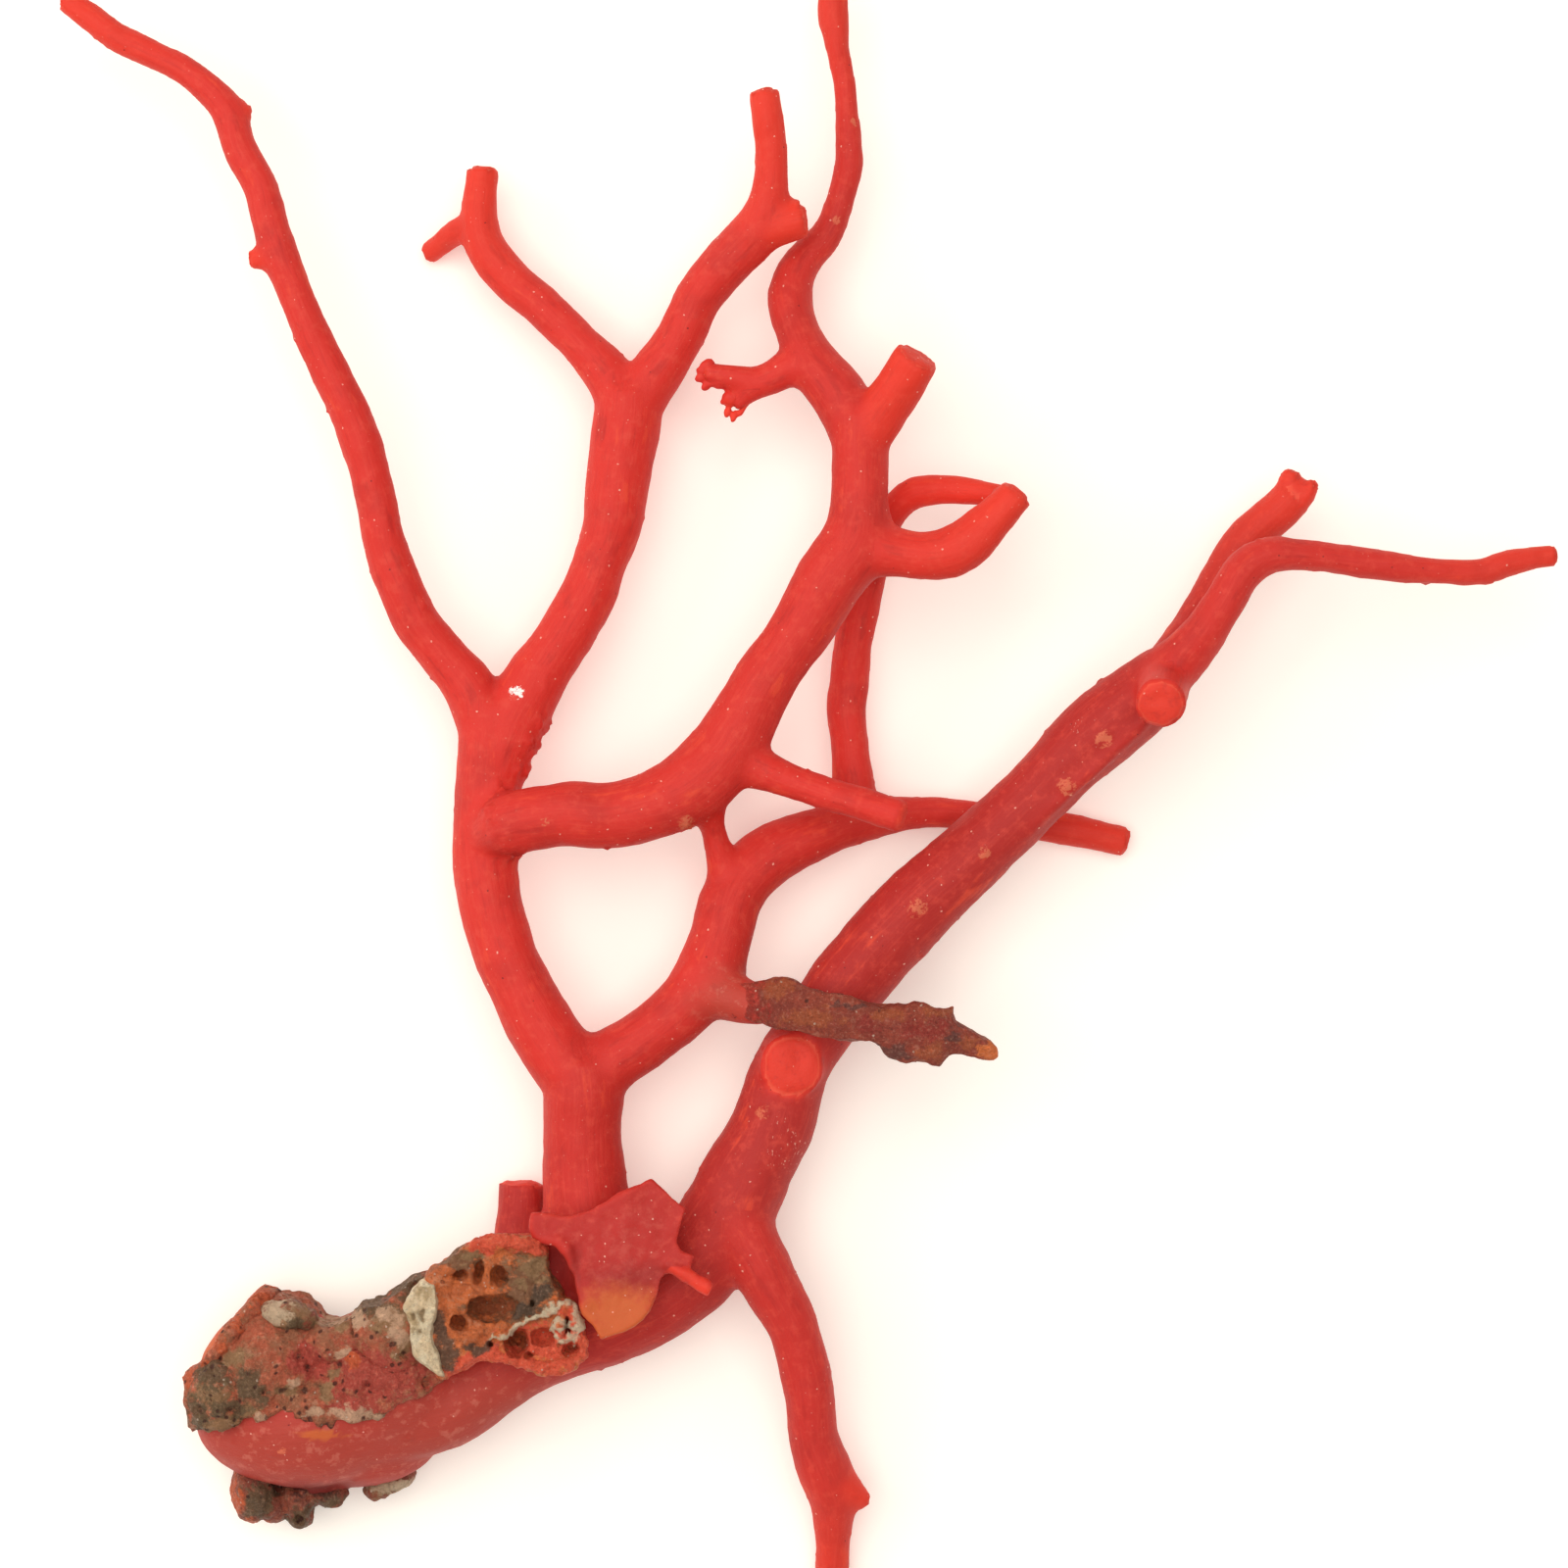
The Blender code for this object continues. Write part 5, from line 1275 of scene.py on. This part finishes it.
TWIG_FLATNESS = 0.62
TWIG_VOXEL = 0.22
TWIG_EDGE_LEVEL = 14.5
TWIG_CREST_LEVEL = 15.0
TWIG_SWELLING = ((2.4, 0.34), (0.9, 0.16), (0.45, 0.06))
TWIG_TIP = ((17.9, -23.3, 1.0, 0.8),)
TWIG_ORANGE = (
    (9.0, -20.0, 1.3, 0.5), (13.6, -19.8, 1.5, 0.4), (12.8, -23.2, 1.2, 0.7), (-0.6, -17.8, 1.6, 0.6),
    (16.0, -22.3, 1.0, 0.5), (2.6, -20.3, 2.4, 0.8),
)
TWIG_SLATE = ((9.4, -23.2, 1.6, 0.4), (5.8, -19.2, 1.3, 0.3), (14.6, -22.0, 0.7, 0.3))
TWIG_RED = ((11.8, -21.2, 2.2, 0.9), (7.2, -20.9, 1.2, 0.8), (-3.0, -19.6, 1.6, 1.2))
TWIG_BARE_END = -4.6


def flat_grow(shape, route, flatness):
    """Draws a closed branch that lies flat: wide across, seen from above, and thin from top to bottom."""
    before = None
    rows = list(along(smooth_route(route)))
    for index, (point, radius, _, _) in enumerate(rows):
        ahead = rows[min(index + 1, len(rows) - 1)][0] - rows[max(index - 1, 0)][0]
        turn = ahead.to_track_quat("Z", "Y")
        wide = Matrix.Diagonal((radius, radius * flatness, radius, 1.0))
        now = Matrix.Translation(point) @ turn.to_matrix().to_4x4() @ wide
        if before is None:
            ring = bmesh.ops.create_circle(shape, cap_ends=True, segments=RING_SIDES, radius=1.0, matrix=now)
            cap = ring["verts"][0].link_faces[0]
        else:
            drawn = bmesh.ops.extrude_face_region(shape, geom=[cap])["geom"]
            cap = next(piece for piece in drawn if isinstance(piece, bmesh.types.BMFace))
            bmesh.ops.transform(shape, matrix=now @ before.inverted(), verts=list(cap.verts))
        before = now


twig_shape = bmesh.new()
flat_grow(twig_shape, TWIG_ROUTE, TWIG_FLATNESS)
twig = as_piece("crusted_twig_skin", twig_shape)
fuse(twig, TWIG_VOXEL, 3)
hold_inside(twig.data, drawn_in(TWIG_OUTLINE, TWIG_EDGE_LEVEL))
twig_corners, _ = read(twig.data)
twig_places = wandering(twig_corners)
twig_relief = lumpiness(twig_corners, TWIG_SWELLING, 60.0)
bare = np.clip((TWIG_BARE_END - twig_places[:, 0]) / 0.5 + 0.5, 0, 1)
raise_by(twig.data, twig_relief * (1 - bare) - 0.9 * bare)
for mark_name, rows in (("orange", TWIG_ORANGE), ("tip", TWIG_TIP), ("slate", TWIG_SLATE), ("red", TWIG_RED)):
    mark(twig.data, mark_name, patches(twig_places, drawn_in(rows, TWIG_CREST_LEVEL)))
# Painted shade: the deep colour in the low places of the twig's crust.
mark(twig.data, "deep", np.clip(-1.6 * twig_relief - 0.45, 0, 0.5))
mark(twig.data, "skin", np.clip((TWIG_BARE_END + 5.0 - twig_places[:, 0]) / 4.6, 0, 1))
twig.data.materials.append(crust_finish(
    "brown twig crust", (0.41, 0.066, 0.034), (0.32, 0.050, 0.029), 0.5, 0.06,
    orange=(0.46, 0.098, 0.034), slate=(0.17, 0.050, 0.038), red=(0.36, 0.036, 0.024),
    tip=(0.84, 0.20, 0.050), skin=(0.54, 0.044, 0.027), pale=(0.60, 0.26, 0.17),
))
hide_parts("crusted_twig")


# The frayed sprig. The end of one short side twig has split into small torn lobes.

FRILLS = (
    ((-5.4, 34.8, 9.8), (1.4, 0.85, 0.8), 0.0), ((-6.6, 36.0, 10.1), (0.75, 0.55, 0.6), 20.0),
    ((-7.1, 35.5, 10.1), (0.50, 0.36, 0.5), -20.0), ((-7.1, 34.9, 10.0), (0.55, 0.34, 0.5), 0.0),
    ((-6.6, 34.3, 9.9), (0.60, 0.38, 0.5), 30.0), ((-4.5, 33.3, 9.5), (0.9, 0.75, 0.7), 30.0),
    ((-5.2, 32.9, 9.4), (0.35, 0.26, 0.3), 20.0), ((-4.9, 32.1, 9.3), (0.30, 0.55, 0.3), -15.0),
    ((-4.3, 31.7, 9.3), (0.28, 0.60, 0.3), -25.0), ((-3.7, 32.1, 9.3), (0.28, 0.55, 0.3), -40.0),
    ((-3.4, 32.8, 9.3), (0.50, 0.35, 0.4), 30.0),
)
FRILL_VOXEL = 0.14
FRILL_SWELLING = ((0.9, 0.10), (0.4, 0.05))
FRILL_PALE = ((-4.6, 31.9, 1.5, 0.8),)

frills_shape = bmesh.new()
for lump in FRILLS:
    swell(frills_shape, *lump)
frills = as_piece("frayed_sprig_lobes", frills_shape)
fuse(frills, FRILL_VOXEL, 1)
frill_corners, _ = read(frills.data)
raise_by(frills.data, lumpiness(frill_corners, FRILL_SWELLING, 9.0))
mark(frills.data, "fork", np.ones(len(frill_corners)))
mark(frills.data, "young", patches(wandering(frill_corners), FRILL_PALE))
frills.data.materials.append(CORAL_FINISH)


# The table, the light and the camera. The coral lies on a plain warm white surface that glows a
# little, under broad soft lights, and is seen from straight above.

FLOOR_SIZE = 1.6
FLOOR_COLOUR = (0.93, 0.88, 0.81)
FLOOR_GLOW = 0.24
ROOM_GLOW = 0.45
CAMERA_LENS = 100.0
SENSOR_WIDTH = 36.0
VIEW_WIDTH = 136.0

floor_shape = bmesh.new()
bmesh.ops.create_grid(floor_shape, x_segments=1, y_segments=1, size=FLOOR_SIZE / 2)
floor_mesh = bpy.data.meshes.new("table_top")
floor_shape.to_mesh(floor_mesh)
floor_shape.free()
floor = bpy.data.objects.new("table_top", floor_mesh)
bpy.context.scene.collection.objects.link(floor)
floor_finish, _, floor_shader = blank_finish("warm white surface")
floor_shader.inputs["Base Color"].default_value = (*FLOOR_COLOUR, 1.0)
floor_shader.inputs["Roughness"].default_value = 0.7
floor_shader.inputs["Specular IOR Level"].default_value = 0.2
floor_shader.inputs["Emission Color"].default_value = (1.0, 0.97, 0.90, 1.0)
floor_shader.inputs["Emission Strength"].default_value = FLOOR_GLOW
floor_mesh.materials.append(floor_finish)


def soft_light(name, place, aim, size, power, colour):
    """A broad square light at a place, in metres, turned to another."""
    lamp = bpy.data.lights.new(name, "AREA")
    lamp.size = size
    lamp.energy = power
    lamp.color = colour
    light = bpy.data.objects.new(name, lamp)
    light.location = place
    light.rotation_euler = (Vector(place) - Vector(aim)).to_track_quat("Z", "Y").to_euler()
    bpy.context.scene.collection.objects.link(light)


soft_light("overhead", (-0.10, 0.12, 0.9), (0, 0, 0), 0.9, 6.6, (1.0, 0.97, 0.92))
soft_light("low side", (-0.7, 0.2, 0.45), (0, 0, 0), 0.5, 2.0, (1.0, 0.97, 0.93))

world = bpy.data.worlds.new("pale room")
bpy.context.scene.world = world
world.use_nodes = True
room = world.node_tree.nodes["Background"].inputs
room["Color"].default_value = (1.0, 0.97, 0.93, 1.0)
room["Strength"].default_value = ROOM_GLOW
bpy.context.scene.view_settings.view_transform = "Standard"

camera_data = bpy.data.cameras.new("above")
camera_data.lens = CAMERA_LENS
camera_data.sensor_width = SENSOR_WIDTH
camera_data.clip_start = 0.01
camera = bpy.data.objects.new("above", camera_data)
camera.location = placed(0.0, 0.0, VIEW_LEVEL + VIEW_WIDTH * CAMERA_LENS / SENSOR_WIDTH)
bpy.context.scene.collection.objects.link(camera)
bpy.context.scene.camera = camera
